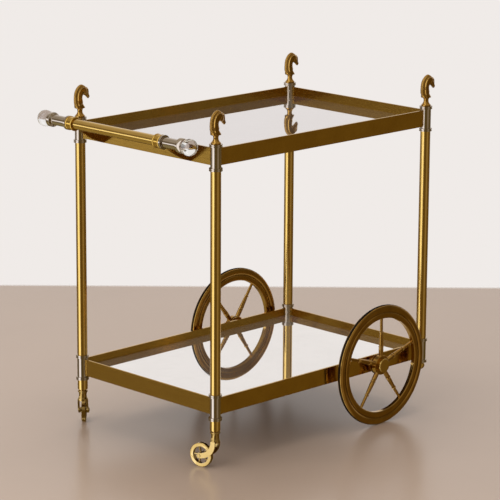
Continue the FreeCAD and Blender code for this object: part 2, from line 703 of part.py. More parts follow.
def grip(side):
    """Nickel grip with its ring and a spigot inside the bar."""
    body = turned(f"grip_{side}", [
        ("rod_hole", "-spigot_length"),
        ("handle_bore - close_fit", "-spigot_length"),
        ("handle_bore - close_fit", "0"),
        ("grip_ring_diameter / 2", "0"),
        ("grip_ring_diameter / 2", "grip_ring_width"),
        ("grip_diameter / 2", "grip_ring_width"),
        ("grip_diameter / 2", "grip_ring_width + grip_length"),
        ("rod_hole", "grip_ring_width + grip_length"),
    ])
    return place(body, "handle_x", across(side, "boss_end"), "handle_z", outward(side))


def ball_cup(side):
    """Cup whose hollow end carries the glass ball."""
    seat = "(ball_diameter / 2 + ball_seat_gap)"
    sunk = "(cup_length + ball_diameter / 2 - ball_seat_depth)"
    rim = f"sqrt({seat} ^ 2 - ({sunk} - cup_length) ^ 2)"
    body = turned(f"cup_{side}", [
        ("rod_hole", "0"),
        ("grip_diameter / 2", "0"),
        ("cup_diameter / 2", "cup_length * 0.22"),
        ("cup_diameter / 2", "cup_length - 2 * cup_bevel"),
        ("cup_diameter / 2 - cup_bevel", "cup_length"),
        (rim, "cup_length", f"-{seat}"),
        ("rod_hole", f"{sunk} - sqrt({seat} ^ 2 - rod_hole ^ 2)"),
    ])
    return place(body, "handle_x", across(side, "grip_end"), "handle_z", outward(side))


def ball(side):
    """Glass ball with a blind hole for the handle's rod."""
    radius = "(ball_diameter / 2)"
    mouth = f"-sqrt({radius} ^ 2 - rod_hole ^ 2)"
    floor = f"ball_bore_depth - {radius}"
    corners = [("rod_hole", mouth, radius), ("0", radius), ("0", floor), ("rod_hole", floor)]
    body = turned(f"glass_ball_{side}", corners)
    keep(f"glass_ball_{side}", place(body, "handle_x", across(side, "ball_y"), "handle_z", outward(side)))


def build_handle():
    bar = ring("handle_bar", "handle_bore", "handle_diameter / 2", "-boss_end", "boss_end")
    keep("handle_bar", place(bar, "handle_x", "0", "handle_z", outward("far")))
    core = rod("handle_tie_rod", "rod_radius", "2 * handle_rod_end")
    keep("handle_tie_rod", place(core, "handle_x", "-handle_rod_end", "handle_z", outward("far")))
    screws = []
    for side in SIDES:
        bracket(side)
        ball(side)
        screws += [bracket_screw(f"bracket_screw_{side}", side, spot) for spot in screw_spots()]
    group("bracket_screws", screws)
    group("handle_grips", [grip(side) for side in SIDES])
    group("ball_cups", [ball_cup(side) for side in SIDES])


# Big wheels

def spoke_turns(side):
    """Headings of a wheel's spokes in degrees from +X towards +Z."""
    count = round(size("spoke_count"))
    return [90 + size(f"{side}_wheel_turn") + 360 / count * index for index in range(count)]


def on_axle(side, piece, out="wheel_y"):
    """Lay a turned piece on a wheel's axle, its own origin that far out from the cart's middle plane."""
    return place(piece, "wheel_x", across(side, out), "wheel_radius", outward(side))


def radial(turn):
    """Turn that points a piece's own Z axis along a heading in the wheel's plane."""
    return Rotation(Vector(0, 1, 0), 90 - turn)


def spoke_holes(name, side, start):
    """Peg holes in the wheel's plane, from a radius outwards."""
    holes = []
    for turn in spoke_turns(side):
        hole = rod(f"{name}_peg_hole", "spoke_tenon_diameter / 2 + close_fit",
                   "spoke_tenon_length + close_fit")
        along, up = math.cos(math.radians(turn)), math.sin(math.radians(turn))
        holes.append(place(hole, f"wheel_x + ({start}) * {along:.9f}", across(side, "wheel_y"),
                           f"wheel_radius + ({start}) * {up:.9f}", radial(turn)))
    return holes


def wheel_rim(side):
    """Moulded rim: a flat inner band, a groove, a rounded outer band and a seat for the tread."""
    name = f"wheel_rim_{side}"
    band, wide = "rim_band_width / 2", "rim_width / 2"
    floor = f"{band} - rim_groove_depth"
    band_edge = "rim_bore + rim_band_depth"
    shoulder = f"{band_edge} + rim_groove_width"
    seat, seat_depth = "tyre_width / 2", "rim_radius - tyre_sunk"
    crown = f"({shoulder} + rim_radius) / 2"
    face = [
        ("rim_bore", f"{band} - rim_bevel"),
        ("rim_bore + rim_bevel", band),
        (band_edge, band),
        (band_edge, floor),
        (shoulder, floor),
        (shoulder, f"{wide} - rim_shoulder"),
        (f"{shoulder} + rim_shoulder", wide),
        (crown, wide),
        ("rim_radius", f"{seat} + rim_lip"),
        ("rim_radius", seat),
        (seat_depth, seat),
    ]
    back = [(radius, f"-({height})") for radius, height in reversed(face)]
    body = on_axle(side, turned(name, back + face))
    keep(name, cut(name, body, spoke_holes(name, side, "rim_bore - close_fit")))
    tread = turned(f"wheel_tyre_{side}", [
        (f"{seat_depth} + close_fit", f"-{seat} + close_fit"),
        ("wheel_radius - tyre_bevel", f"-{seat} + close_fit"),
        ("wheel_radius", f"-{seat} + tyre_bevel"),
        ("wheel_radius", f"{seat} - tyre_bevel"),
        ("wheel_radius - tyre_bevel", f"{seat} - close_fit"),
        (f"{seat_depth} + close_fit", f"{seat} - close_fit"),
    ])
    keep(f"wheel_tyre_{side}", on_axle(side, tread))


def wheel_spokes(side):
    """Turned spokes: slim outside, thicker inside, with two beads and a peg at each end."""
    root, tip = "spoke_root_diameter / 2", "spoke_tip_diameter / 2"
    bead, half, peg = "spoke_bead_diameter / 2", "spoke_bead_width / 2", "spoke_tenon_diameter / 2"
    hub_edge, rim_edge = "hub_diameter / 2 + close_fit", "rim_bore - close_fit"
    run = "(rim_bore - hub_diameter / 2)"
    inner_bead = f"(hub_diameter / 2 + {run} * {INNER_BEAD})"
    outer_bead = f"(hub_diameter / 2 + {run} * {OUTER_BEAD})"
    profile = [
        ("0", "hub_diameter / 2 - spoke_tenon_length"),
        (peg, "hub_diameter / 2 - spoke_tenon_length"),
        (peg, hub_edge),
        (f"{root} * 0.96", hub_edge),
        (root, f"{inner_bead} - {half}"),
        (bead, f"{inner_bead} - {half} * 0.5"),
        (bead, f"{inner_bead} + {half} * 0.5"),
        (f"{root} * 0.96", f"{inner_bead} + {half}"),
        (f"{root} * 0.84", f"{outer_bead} - {half}"),
        (f"{bead} * 0.94", f"{outer_bead} - {half} * 0.5"),
        (f"{bead} * 0.94", f"{outer_bead} + {half} * 0.5"),
        (f"{tip} * 1.08", f"{outer_bead} + {half}"),
        (tip, rim_edge),
        (peg, rim_edge),
        (peg, "rim_bore + spoke_tenon_length - 2 * close_fit"),
        ("0", "rim_bore + spoke_tenon_length - 2 * close_fit"),
    ]
    spokes = []
    for index, turn in enumerate(spoke_turns(side)):
        spoke = turned(f"spoke_{side}_{index}", profile)
        spokes.append(place(spoke, "wheel_x", across(side, "wheel_y"), "wheel_radius", radial(turn)))
    group(f"wheel_spokes_{side}", spokes)


def wheel_hub(side):
    """Hub with a spoked flange, a barrel and a cap over the axle's end."""
    name = f"wheel_hub_{side}"
    flange, barrel = "hub_diameter / 2", "hub_barrel_diameter / 2"
    front, rear = "hub_outer_face", "-hub_inner_face"
    step = f"{front} - hub_flange_width"
    body = turned(name, [
        ("axle_hole", rear),
        (f"{flange} - hub_bevel", rear),
        (flange, f"{rear} + hub_bevel"),
        (flange, f"{rear} + hub_lip_width"),
        (barrel, f"{rear} + hub_lip_width"),
        (barrel, step),
        (flange, step),
        (flange, f"{front} - hub_bevel"),
        (f"{flange} - hub_bevel", front),
        ("axle_hole", front),
    ])
    peg_floor = "hub_diameter / 2 - spoke_tenon_length - close_fit"
    keep(name, cut(name, on_axle(side, body), spoke_holes(name, side, peg_floor)))
    edge, wall = "hub_cap_diameter / 2", "hub_cap_wall"
    cap = turned(f"hub_cap_{side}", [
        (f"{edge} - {wall}", front),
        (edge, front),
        (edge, f"{front} + hub_cap_height - hub_cap_rounding", "hub_cap_rounding"),
        (f"{edge} - hub_cap_rounding", f"{front} + hub_cap_height"),
        ("0", f"{front} + hub_cap_height"),
        ("0", f"{front} + hub_cap_height - {wall}"),
        (f"{edge} - {wall}", f"{front} + hub_cap_height - {wall}"),
    ])
    keep(f"hub_cap_{side}", on_axle(side, cap))


def build_wheels():
    axles, bosses, nuts = [], [], []
    for side in SIDES:
        wheel_rim(side)
        wheel_spokes(side)
        wheel_hub(side)
        axle = rod(f"axle_{side}", "axle_diameter / 2", "axle_end - half_width + rail_inner")
        axles.append(on_axle(side, axle, "half_width - rail_inner"))
        boss = turned(f"axle_boss_{side}", [
            ("axle_hole", "0"),
            ("axle_boss_diameter / 2", "0"),
            ("axle_boss_diameter / 2", "axle_boss_width * 0.4"),
            ("axle_diameter / 2 + axle_boss_wall", "axle_boss_width"),
            ("axle_hole", "axle_boss_width"),
        ])
        bosses.append(on_axle(side, boss, "rail_face"))
        nut = ring(f"axle_nut_{side}", "axle_hole", "axle_nut_diameter / 2", "0", "axle_nut_width")
        nuts.append(on_axle(side, nut, "wheel_y + hub_outer_face + running_gap"))
    group("wheel_axles", axles)
    group("axle_bosses", bosses)
    group("axle_nuts", nuts)


# Casters and buttons under the posts

def caster_fork(side, x, y, turn):
    """Turned neck over two curved arms that trail behind the swivel axis."""
    name = f"caster_fork_{side}"
    lip, waist = "fork_lip_diameter / 2", "fork_waist_diameter / 2"
    tall, half = "fork_neck_height", "fork_width / 2"
    plate = "fork_arm_thickness"
    neck = turned(f"{name}_neck", [
        ("0", f"-{tall} - {plate}"),
        (f"{half} * 0.92", f"-{tall} - {plate}"),
        (f"{half} * 0.92", f"-{tall} * 0.94", f"-{tall}"),
        (waist, f"-{tall} * 0.45", f"-{tall} * 0.5"),
        (f"{lip} * 0.98", f"-{tall} * 0.14"),
        (lip, f"-{tall} * 0.10"),
        (lip, "-fork_bevel"),
        (f"{lip} - fork_bevel", "0"),
        ("stem_diameter / 2", "0"),
        ("stem_diameter / 2", "-stem_socket"),
        ("0", "-stem_socket"),
    ])
    place(neck, x, y, "fork_top")
    arms = new_body(f"{name}_arms")
    top = "(fork_crown - caster_radius)"
    reach, edge = "caster_trail", "arm_radius"
    lead = f"-{edge}"
    profile = outline(arms, "XZ_Plane", [
        (lead, top),
        (lead, f"{top} * 0.85", f"{reach} * 1.02"),
        (f"{reach} * 0.42", f"-{edge} * 0.1", f"{reach} * 1.6"),
        (reach, f"-{edge}", edge),
        (f"{reach} + {edge}", "0", edge),
        (reach, edge, f"-{reach} * 1.6"),
        (f"{reach} * 0.53", f"{edge} * 1.85", f"-{reach} * 0.85"),
        (f"{edge} * 0.92", f"{top} * 0.9"),
        (f"{edge} * 0.92", top),
    ])
    pad(arms, profile, "fork_width")
    gap = new_body(f"{name}_gap")
    far_end = f"({reach} + 2 * {edge})"
    roof = f"{top} + {plate}"
    pad(gap, outline(gap, "XZ_Plane", [
        (f"-{edge} * 2", f"-{edge} * 2"), (far_end, f"-{edge} * 2"), (far_end, roof), (f"-{edge} * 2", roof),
    ]), "2 * arm_inner")
    pin_bore = rod(f"{name}_pin_hole", "pin_hole", "2 * fork_width")
    heading = Rotation(Vector(0, 0, 1), turn)
    for piece in (arms, gap):
        place(piece, x, y, "caster_radius", heading)
    ahead, aside = math.cos(math.radians(turn)), math.sin(math.radians(turn))
    place(pin_bore, f"{x} + {ahead:.9f} * caster_trail + {aside:.9f} * fork_width",
          f"{y} + {aside:.9f} * caster_trail - {ahead:.9f} * fork_width", "caster_radius",
          heading.multiply(Rotation(Vector(1, 0, 0), -90)))
    keep(name, fuse(name, [neck, cut(f"{name}_arms", arms, [gap, pin_bore])]))


def caster_wheel(side, x, y, heading):
    """Ring on thin spokes round a bored hub."""
    name = f"caster_wheel_{side}"
    wide, edge = "caster_wheel_width / 2", "caster_radius"
    tyre = turned(f"{name}_ring", [
        (f"{edge} - caster_ring_depth", f"-{wide}"),
        (f"{edge} - caster_bevel", f"-{wide}"),
        (edge, f"-{wide} + caster_bevel"),
        (edge, f"{wide} - caster_bevel"),
        (f"{edge} - caster_bevel", wide),
        (f"{edge} - caster_ring_depth", wide),
    ])
    hub = ring(f"{name}_hub", "pin_hole", "caster_hub_diameter / 2", "-arm_inner + running_gap",
               "arm_inner - running_gap")
    count = round(size("caster_spoke_count"))
    root = "(pin_hole + caster_hub_diameter / 2) / 2"
    spokes = []
    for index in range(count):
        spoke = rod(f"{name}_spoke", "caster_spoke_diameter / 2", f"{edge} - caster_ring_depth / 2 - {root}")
        lean = 2 * math.pi * index / count
        heading_out = Vector(math.cos(lean), math.sin(lean), 0)
        spokes.append(place(spoke, f"{root} * {heading_out.x:.9f}", f"{root} * {heading_out.y:.9f}", "0",
                            Rotation(Vector(0, 0, 1), heading_out)))
    wheel = fuse(name, [tyre, hub] + spokes)
    keep(name, place(wheel, x, y, "caster_radius", heading))


def caster_pin(side, x, y, heading):
    """Riveted pin through both arms."""
    end, head = "fork_width / 2", "pin_head_diameter / 2"
    shank = "caster_pin_diameter / 2"
    body = turned(f"caster_pin_{side}", [
        ("0", f"-{end} - pin_head_height"),
        (f"{head} * 0.8", f"-{end} - pin_head_height"),
        (head, f"-{end}"),
        (shank, f"-{end}"),
        (shank, end),
        (head, end),
        (f"{head} * 0.8", f"{end} + pin_head_height"),
        ("0", f"{end} + pin_head_height"),
    ])
    keep(f"caster_pin_{side}", place(body, x, y, "caster_radius", heading))


def build_casters():
    washers = []
    for side in SIDES:
        x, y = POSTS[f"{side}_handle"]
        foot = turned(f"caster_foot_{side}", [
            ("stem_hole", "0"),
            ("post_diameter / 2", "0"),
            ("post_diameter / 2", "foot_height"),
            ("rod_hole", "foot_height"),
            ("rod_hole", "foot_height - foot_rod_depth - end_gap"),
            ("0", "foot_height - foot_rod_depth - end_gap"),
            ("0", "stem_depth + end_gap"),
            ("stem_hole", "stem_depth + end_gap"),
        ])
        keep(f"caster_foot_{side}", place(foot, x, y, "foot_bottom"))
        stem = rod(f"caster_stem_{side}", "stem_diameter / 2", "stem_depth + swivel_gap + stem_socket")
        keep(f"caster_stem_{side}", place(stem, x, y, "fork_top - stem_socket"))
        thick = "swivel_gap - running_gap / 2"
        washer = ring(f"washer_{side}", "stem_hole", "washer_diameter / 2", "0", thick)
        washers.append(place(washer, x, y, "fork_top + running_gap / 2"))
        turn = size(f"{side}_caster_turn")
        caster_fork(side, x, y, turn)
        ahead, aside = math.cos(math.radians(turn)), math.sin(math.radians(turn))
        hub_x, hub_y = f"{x} + {ahead:.9f} * caster_trail", f"{y} + {aside:.9f} * caster_trail"
        level = Rotation(Vector(0, 0, 1), turn).multiply(Rotation(Vector(1, 0, 0), -90))
        caster_wheel(side, hub_x, hub_y, level)
        caster_pin(side, hub_x, hub_y, level)
    group("thrust_washers", washers)


def build_buttons():
    """Ball buttons screwed on the tie rods under the wheel-end posts."""
    buttons = []
    for side in SIDES:
        x, y = POSTS[f"{side}_wheel"]
        radius = "(button_diameter / 2)"
        seat = f"({radius} - button_height)"
        body = turned(f"button_{side}", [
            ("rod_hole", f"-{seat}"),
            ("rod_hole", f"-{seat} - foot_rod_depth - end_gap"),
            ("0", f"-{seat} - foot_rod_depth - end_gap"),
            ("0", f"-{radius}", radius),
            (f"sqrt({radius} ^ 2 - {seat} ^ 2)", f"-{seat}"),
        ])
        buttons.append(place(body, x, y, f"lower_sleeve_bottom + {seat}"))
    group("post_buttons", buttons)


build_posts()
build_finials()
build_tray("upper", "top_rail_level", "upper_stack", "upper_mirror_drop")
build_tray("lower", "low_rail_level", "lower_stack", "lower_mirror_drop")
build_handle()
build_wheels()
build_casters()
build_buttons()
doc.recompute()

for item in doc.Objects:
    if "Invalid" in item.State or "Error" in item.State:
        raise RuntimeError(f"{item.Label} failed: {item.State}")
for name, piece in nodes.items():
    if piece.Shape.isNull() or not piece.Shape.isValid():
        raise RuntimeError(f"{name} has no valid shape")

os.makedirs("parts", exist_ok=True)
for name, piece in nodes.items():
    piece.Shape.exportStep(os.path.join("parts", f"{name}.step"))
print(len(nodes), "nodes written")
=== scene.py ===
"""Looks of the brass bar cart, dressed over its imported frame, in metres.

Most of the frame's solids are shown by softened copies, each with its own finish. The moulded rims, turned
spokes, slotted screws, glass balls and carved horse heads are modelled here, in the places that the frame
gives.
"""
import json
import math

import bmesh
import bpy
import numpy as np
from mathutils import Matrix, Quaternion, Vector

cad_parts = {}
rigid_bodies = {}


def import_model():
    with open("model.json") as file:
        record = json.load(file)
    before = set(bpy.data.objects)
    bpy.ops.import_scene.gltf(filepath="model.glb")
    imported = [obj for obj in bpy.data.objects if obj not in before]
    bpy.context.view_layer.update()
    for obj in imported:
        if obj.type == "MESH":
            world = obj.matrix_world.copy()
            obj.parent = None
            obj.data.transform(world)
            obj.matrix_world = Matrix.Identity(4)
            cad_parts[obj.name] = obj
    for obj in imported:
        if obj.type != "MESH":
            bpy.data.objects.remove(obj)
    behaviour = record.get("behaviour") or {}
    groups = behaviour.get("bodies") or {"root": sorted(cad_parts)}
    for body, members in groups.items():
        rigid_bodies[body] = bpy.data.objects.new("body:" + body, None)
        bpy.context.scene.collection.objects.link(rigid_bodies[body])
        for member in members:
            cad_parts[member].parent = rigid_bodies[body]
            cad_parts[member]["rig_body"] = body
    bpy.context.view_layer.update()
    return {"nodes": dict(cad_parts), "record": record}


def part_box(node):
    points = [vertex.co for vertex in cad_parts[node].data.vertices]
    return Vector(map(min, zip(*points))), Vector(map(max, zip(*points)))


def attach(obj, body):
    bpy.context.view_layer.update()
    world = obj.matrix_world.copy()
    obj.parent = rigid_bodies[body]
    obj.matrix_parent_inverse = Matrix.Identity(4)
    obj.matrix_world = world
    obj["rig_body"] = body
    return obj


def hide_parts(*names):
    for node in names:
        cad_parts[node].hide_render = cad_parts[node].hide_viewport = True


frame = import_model()
MM = 0.001
SLOTS = {part["node"]: part["material_slot"] for part in frame["record"]["subparts"]}
SIDES = {"near": -1, "far": 1}
TIERS = ("upper", "lower")
CORNERS = ("near_handle", "far_handle", "near_wheel", "far_wheel")

# Camera
CAMERA_PLACE = Vector((-3.77095, -3.8267, 1.6696))
CAMERA_AIM = Vector((-0.0036, -0.0287, 0.3918))
CAMERA_ROLL = math.radians(0.32)
CAMERA_LENS = 182.3
CAMERA_SENSOR = 36.0

# Floor: where it ends behind the cart, along the camera's heading, and where it fades out all round
HEADING = (0.704, 0.710, 0)
FLOOR = (0.505, 0.385, 0.302, 1)
FLOOR_SHADE = 0.97
FLOOR_ROUGHNESS = 0.26
FLOOR_BACK = (1.185, 1.205)
FLOOR_ROUND = (2.2, 3.4)
FLOOR_REACH = 9.0

# Colours of the painted room and of the soft lamps, linear, and how strongly the wall lights what isn't shiny
WALL = (0.871, 0.831, 0.807, 1)
ROOM_LOW = (0.164, 0.112, 0.036, 1)
ROOM_HIGH = (0.146, 0.111, 0.058, 1)
UPPER_ROOM = (0.44, 0.40, 0.34, 1)
CEILING = (0.62, 0.56, 0.47, 1)
WINDOW = (0.90, 0.94, 1.05, 1)
LAMP = (0.40, 0.33, 0.23, 1)
PANE = (0.27, 0.22, 0.155, 1)
LIT_FLOOR = (0.40, 0.34, 0.17, 1)
FAR_FLOOR = (0.42, 0.33, 0.28, 1)
DAYLIGHT = (1.0, 0.965, 0.92)
SOFT_LIGHT = 0.58

# Layers of the painted room, each a span of a direction's height, from -1 straight down to 1 straight up
ROOM_MIDDLE = (-0.06, 0.10)
WALL_FOOT = (-0.22, 0.0)
CEILING_FADE = (0.45, 0.85)
FAR_FLOOR_EDGE = (-0.10, -0.02)
# Span along the camera's heading in which the dark side of the room turns into the pale wall
ROOM_FADE = (0.25, 0.85)
# Upright bands of the room: bearings in degrees, and half widths to the start and end of their soft edges
UPPER_BEARING, UPPER_HALF, UPPER_FADE = 225, (40, 80), (0.08, 0.40)
WINDOW_BEARING, WINDOW_HALF, WINDOW_STRENGTH = 171, (13, 28), 2.12
LAMP_BEARING, LAMP_HALF = 275, (8, 24)
# Low side window with its bright sill, and the lit floor below it
PANE_BEARING, PANE_HALF, PANE_FOOT, PANE_TOP = 128, (14, 26), (-0.62, -0.34), (0.35, 0.60)
SILL_FOOT, SILL_TOP, SILL_STRENGTH = (-0.19, -0.14), (0.04, 0.11), 2.0
LIT_BEARING, LIT_HALF, LIT_TOP = 115, (25, 45), (-0.44, -0.32)

# Grain of the finishes: scale by axis, smallest along the grain, and the span that most of a noise lies in
EVEN, ALONG_X, ALONG_Y, ALONG_Z = (1, 1, 1), (0.04, 1, 1), (1, 0.04, 1), (1, 1, 0.04)
BOARD_FIBRES = (0.4, 1, 1)
NOISE_SPAN = (0.3, 0.7)

# Aged metal: spans of noise and of an edge's sharpness, and what they do to its colour and roughness
PATINA_SPAN, PATINA_DULLS = (0.36, 0.72), 0.06
METAL_GRAIN, GRAIN_DULLS = 700.0, (-0.02, 0.04)
WORN_SPAN = (0.515, 0.60)
# Hollows darkened: partly patina, partly painted shade where less light would reach
HOLLOW_SHADE_AND_PATINA_SPAN, HOLLOW_SHADE_AND_PATINA = (0.40, 0.485), 0.35

# Mirror, glass, board and rubber
FILM_SPAN, FILM_SHADE, FILM_ROUGHNESS = (0.40, 0.75), 0.97, (0.015, 0.05)
DUST, DUST_UNEVEN = (0.86, 0.84, 0.80, 1), (0.8, 1.2)
GLASS, GLASS_INDEX = (0.97, 0.985, 0.98, 1), 1.5
BOARD_DARK, BOARD_LIGHT = (0.10, 0.07, 0.05, 1), (0.19, 0.14, 0.10, 1)
RUBBER_BLACK, RUBBER_DUSTY = (0.012, 0.007, 0.004, 1), (0.036, 0.024, 0.014, 1)
RUBBER_SPAN, RUBBER_SHEEN = (0.42, 0.75), 0.04

# Softened edges by material slot, the angle past which an edge is sharp, and what counts as flat or as one
# point
EDGE_WIDTH = {"rail_brass": 0.9 * MM, "nickel": 0.35 * MM, "mirror": 0.8 * MM, "dark_brass": 0.4 * MM}
PLAIN_EDGE = 0.3 * MM
EDGE_SEGMENTS = 2
SHARP_ANGLE = math.radians(32)
FLAT_ANGLE = math.radians(0.3)
MERGE_DISTANCE = 0.001 * MM

# Turned spokes: places from the axle outwards, the beads' as shares of the run from hub to rim
SPOKE_COUNT = 5
SPOKE_TURN = {"near": 0.0, "far": math.radians(34)}
SPOKE_HUB, SPOKE_RIM = 21.5 * MM, 105.9 * MM
INNER_BEAD, OUTER_BEAD = 0.23, 0.63
SPOKE_ROOT, SPOKE_TIP = 5.4 * MM, 3.2 * MM
SPOKE_BEAD, SPOKE_BEAD_WIDTH = 5.9 * MM, 3.4 * MM
# Shares of the root's radius at its end, beside the inner bead and at the taper's end, of the bead's radius
# for the outer bead, and of the tip's radius where it swells
ROOT_END, ROOT_NECK, TAPER_END, SMALL_BEAD, TIP_SWELL = 0.96, 0.84, 0.74, 0.86, 1.06
# Distances from a bead's middle, in bead widths, of the necks beside it, the taper's end and the long runs
NECK_REACH, TAPER_REACH, RUN_REACH = 0.75, 1.2, 1.3
SPOKE_GRAIN, SPOKE_STEPS, BEAD_STEPS = 1.5 * MM, 32, 6

# Moulded rims in millimetres: (depth below the rim's edge, half width) for the bore, two crowned bands and
# the tread's seat; a shoulder is the centre, radius and first lean in degrees of an arc that rounds a band
RIM_BORE, RIM_INNER_BAND = (28.0, 4.0), [(26.9, 5.0), (21.6, 5.9), (17.2, 5.45)]
RIM_INNER_SHOULDER = ((17.67, 3.82), 1.7, 16)
RIM_GROOVE = [(15.5, 3.8), (13.7, 3.8)]
RIM_OUTER_BAND, RIM_SEAT = [(13.5, 4.7), (7.4, 6.5), (1.21, 5.01)], [(0.0, 3.02), (3.0, 3.02)]
RIM_OUTER_SHOULDER = ((2.15, 3.08), 2.15, 26)
RIM_STEPS, CROWN_STEPS, SHOULDER_STEPS = 160, 10, 6
TYRE_PROUD = 1.0

# Screws: the lock screws' place below the rails' top and out from the post's axis, then sizes
LOCK_SCREW_DROP = 10 * MM
LOCK_SCREW_SEAT = 11.35 * MM
LOCK_HEAD, LOCK_HEAD_HEIGHT, LOCK_SLOT = 6.4 * MM, 1.8 * MM, 0.9 * MM
LOCK_SHANK, LOCK_SHANK_LENGTH = 4.0 * MM, 5.5 * MM
BRACKET_HEAD, BRACKET_HEAD_HEIGHT, BRACKET_SLOT = 5.4 * MM, 1.6 * MM, 0.8 * MM
BRACKET_SHANK = 3.0 * MM
HEAD_SEGMENTS, HEAD_RINGS, SHANK_SIDES = 24, 14, 20
SLOT_OVERRUN = 1.2

# Glass balls
BALL_BORE, BALL_BORE_DEPTH = 4.05 * MM, 13.0 * MM
BALL_STEPS, BALL_ARC_STEPS = 96, 48

# Skin of a horse's head, and how often and how far it is rubbed smooth
HORSE_GRAIN = 0.36 * MM
RUB_ROUNDS, RUB_SHARE = 3, 0.5
# Carving of a horse's head in millimetres: places are (x, z) from the middle of its seat, the horse looking
# along +x; it starts above the turned foot, and on the sides a little way off the middle plane
HORSE_FOOT, FOOT_FADE = 20.0, 2.0
SIDE_START, SIDE_FADE = 1.2, 1.5
MANE_LINE = [
    (-11.7, 20.5), (-15.0, 27.1), (-15.8, 35.7), (-15.5, 44.8), (-13.5, 54.4), (-8.5, 62.4), (-1.0, 68.0),
    (7.0, 68.5), (13.7, 65.2),
]
MANE_PITCH, MANE_SLANT, MANE_DEPTH, MANE_CUT = 3.0, 0.6, 5.4, 0.40
MANE_FADE, MANE_START = 1.2, 3.0
NECK_PROUD, MANE_SUNK, NECK_SHOULDER, NECK_START = 1.7, 0.6, 1.0, 4.0
EYE_CLEAR, EYE_FADE = 1.0, 5.0
CHEEK, EYE, NOSTRIL = (12.4, 51.5), (17.4, 55.4), (23.0, 41.4)
BROW_LINE = [(14.6, 58.2), (17.6, 58.8), (20.0, 56.6)]
MOUTH_LINE = [(24.4, 38.4), (22.4, 39.7), (20.2, 41.8)]
EAR_LINE = [(9.6, 61.6), (11.4, 64.4), (12.6, 66.4)]
# Heights and soft reaches of spots and ridges, and heights, radii and soft reaches of rings round a spot
CHEEK_SWELL, EYEBALL, NOSTRIL_HOLE = (0.75, 4.6), (0.95, 1.15), (-0.9, 0.8)
BROW_RIDGE, MOUTH_CUT, EAR_RIDGE, EAR_TAPER = (0.45, 0.8), (-0.45, 0.45), (0.9, 1.1), 0.5
JAW_GROOVE, EYE_SOCKET, NOSTRIL_RIM = (-0.40, 6.2, 0.8), (-0.65, 1.9, 0.75), (0.35, 1.3, 0.6)
JAW_FRONT = 2.0


# Node helpers

def node(tree, kind, settings=None, inputs=None):
    """New node with its settings and the values of its inputs, by name or by index."""
    made = tree.nodes.new(kind)
    for key, value in (settings or {}).items():
        setattr(made, key, value)
    for key, value in (inputs or {}).items():
        made.inputs[key].default_value = value
    return made


def link(tree, source, target):
    tree.links.new(source, target)


def give(tree, value, target):
    """Set a socket to a constant, or link it to another socket."""
    if isinstance(value, bpy.types.NodeSocket):
        link(tree, value, target)
    else:
        target.default_value = value


def new_finish(name):
    """Node material and its surface shader."""
    material = bpy.data.materials.new(name)
    material.use_nodes = True
    return material, material.node_tree, material.node_tree.nodes["Principled BSDF"]


def noise(tree, vector, scale, detail=3.0, roughness=0.55):
    made = node(tree, "ShaderNodeTexNoise", None, {"Scale": scale, "Detail": detail, "Roughness": roughness})
    link(tree, vector, made.inputs["Vector"])
    return made.outputs["Fac"]


def stretched(tree, scale=EVEN):
    """Object coordinates scaled by axis, so that a grain runs along the smallest."""
    coordinates = node(tree, "ShaderNodeTexCoord")
    mapping = node(tree, "ShaderNodeMapping", None, {"Scale": scale})
    link(tree, coordinates.outputs["Object"], mapping.inputs["Vector"])
    return mapping.outputs["Vector"]


def spread(tree, value, low=0.0, high=1.0, bottom=0.0, top=1.0):
    """Map a value's range onto another, clamped."""
    made = node(tree, "ShaderNodeMapRange", None,
                {"From Min": low, "From Max": high, "To Min": bottom, "To Max": top})
    link(tree, value, made.inputs["Value"])
    return made.outputs["Result"]


def blend_colours(tree, factor, first, second):
    """Colour that goes from first to second; each is a constant or a socket."""
    made = node(tree, "ShaderNodeMix", {"data_type": "RGBA"})
    link(tree, factor, made.inputs["Factor"])
    for key, colour in (("A", first), ("B", second)):
        give(tree, colour, [item for item in made.inputs if item.name == key and item.type == "RGBA"][0])
    return [item for item in made.outputs if item.type == "RGBA"][0]


def mixed(tree, factor, first, second):
    """Shader that goes from first to second."""
    made = node(tree, "ShaderNodeMixShader")
    link(tree, factor, made.inputs["Fac"])
    link(tree, first, made.inputs[1])
    link(tree, second, made.inputs[2])
    return made.outputs["Shader"]


def total(tree, first, second, operation="ADD"):
    """Sum or other result of two values; each is a constant or a socket."""
    made = node(tree, "ShaderNodeMath", {"operation": operation})
    give(tree, first, made.inputs[0])
    give(tree, second, made.inputs[1])
    return made.outputs["Value"]


def measured(tree, vector, operation, other=None):
    """Length of a vector, or its product with a fixed one."""
    made = node(tree, "ShaderNodeVectorMath", {"operation": operation})
    link(tree, vector, made.inputs[0])
    if other is not None:
        made.inputs[1].default_value = other
    return made.outputs["Value"]


def bumpy(tree, shader, height, strength, distance):
    made = node(tree, "ShaderNodeBump", None, {"Strength": strength, "Distance": distance})
    link(tree, height, made.inputs["Height"])
    link(tree, made.outputs["Normal"], shader.inputs["Normal"])


def show_surface(tree, shader):
    link(tree, shader, tree.nodes["Material Output"].inputs["Surface"])


# Finishes

def shaded(colour, share):
    """Colour darkened to a share of itself."""
    return tuple(part * share for part in colour[:3]) + (1,)


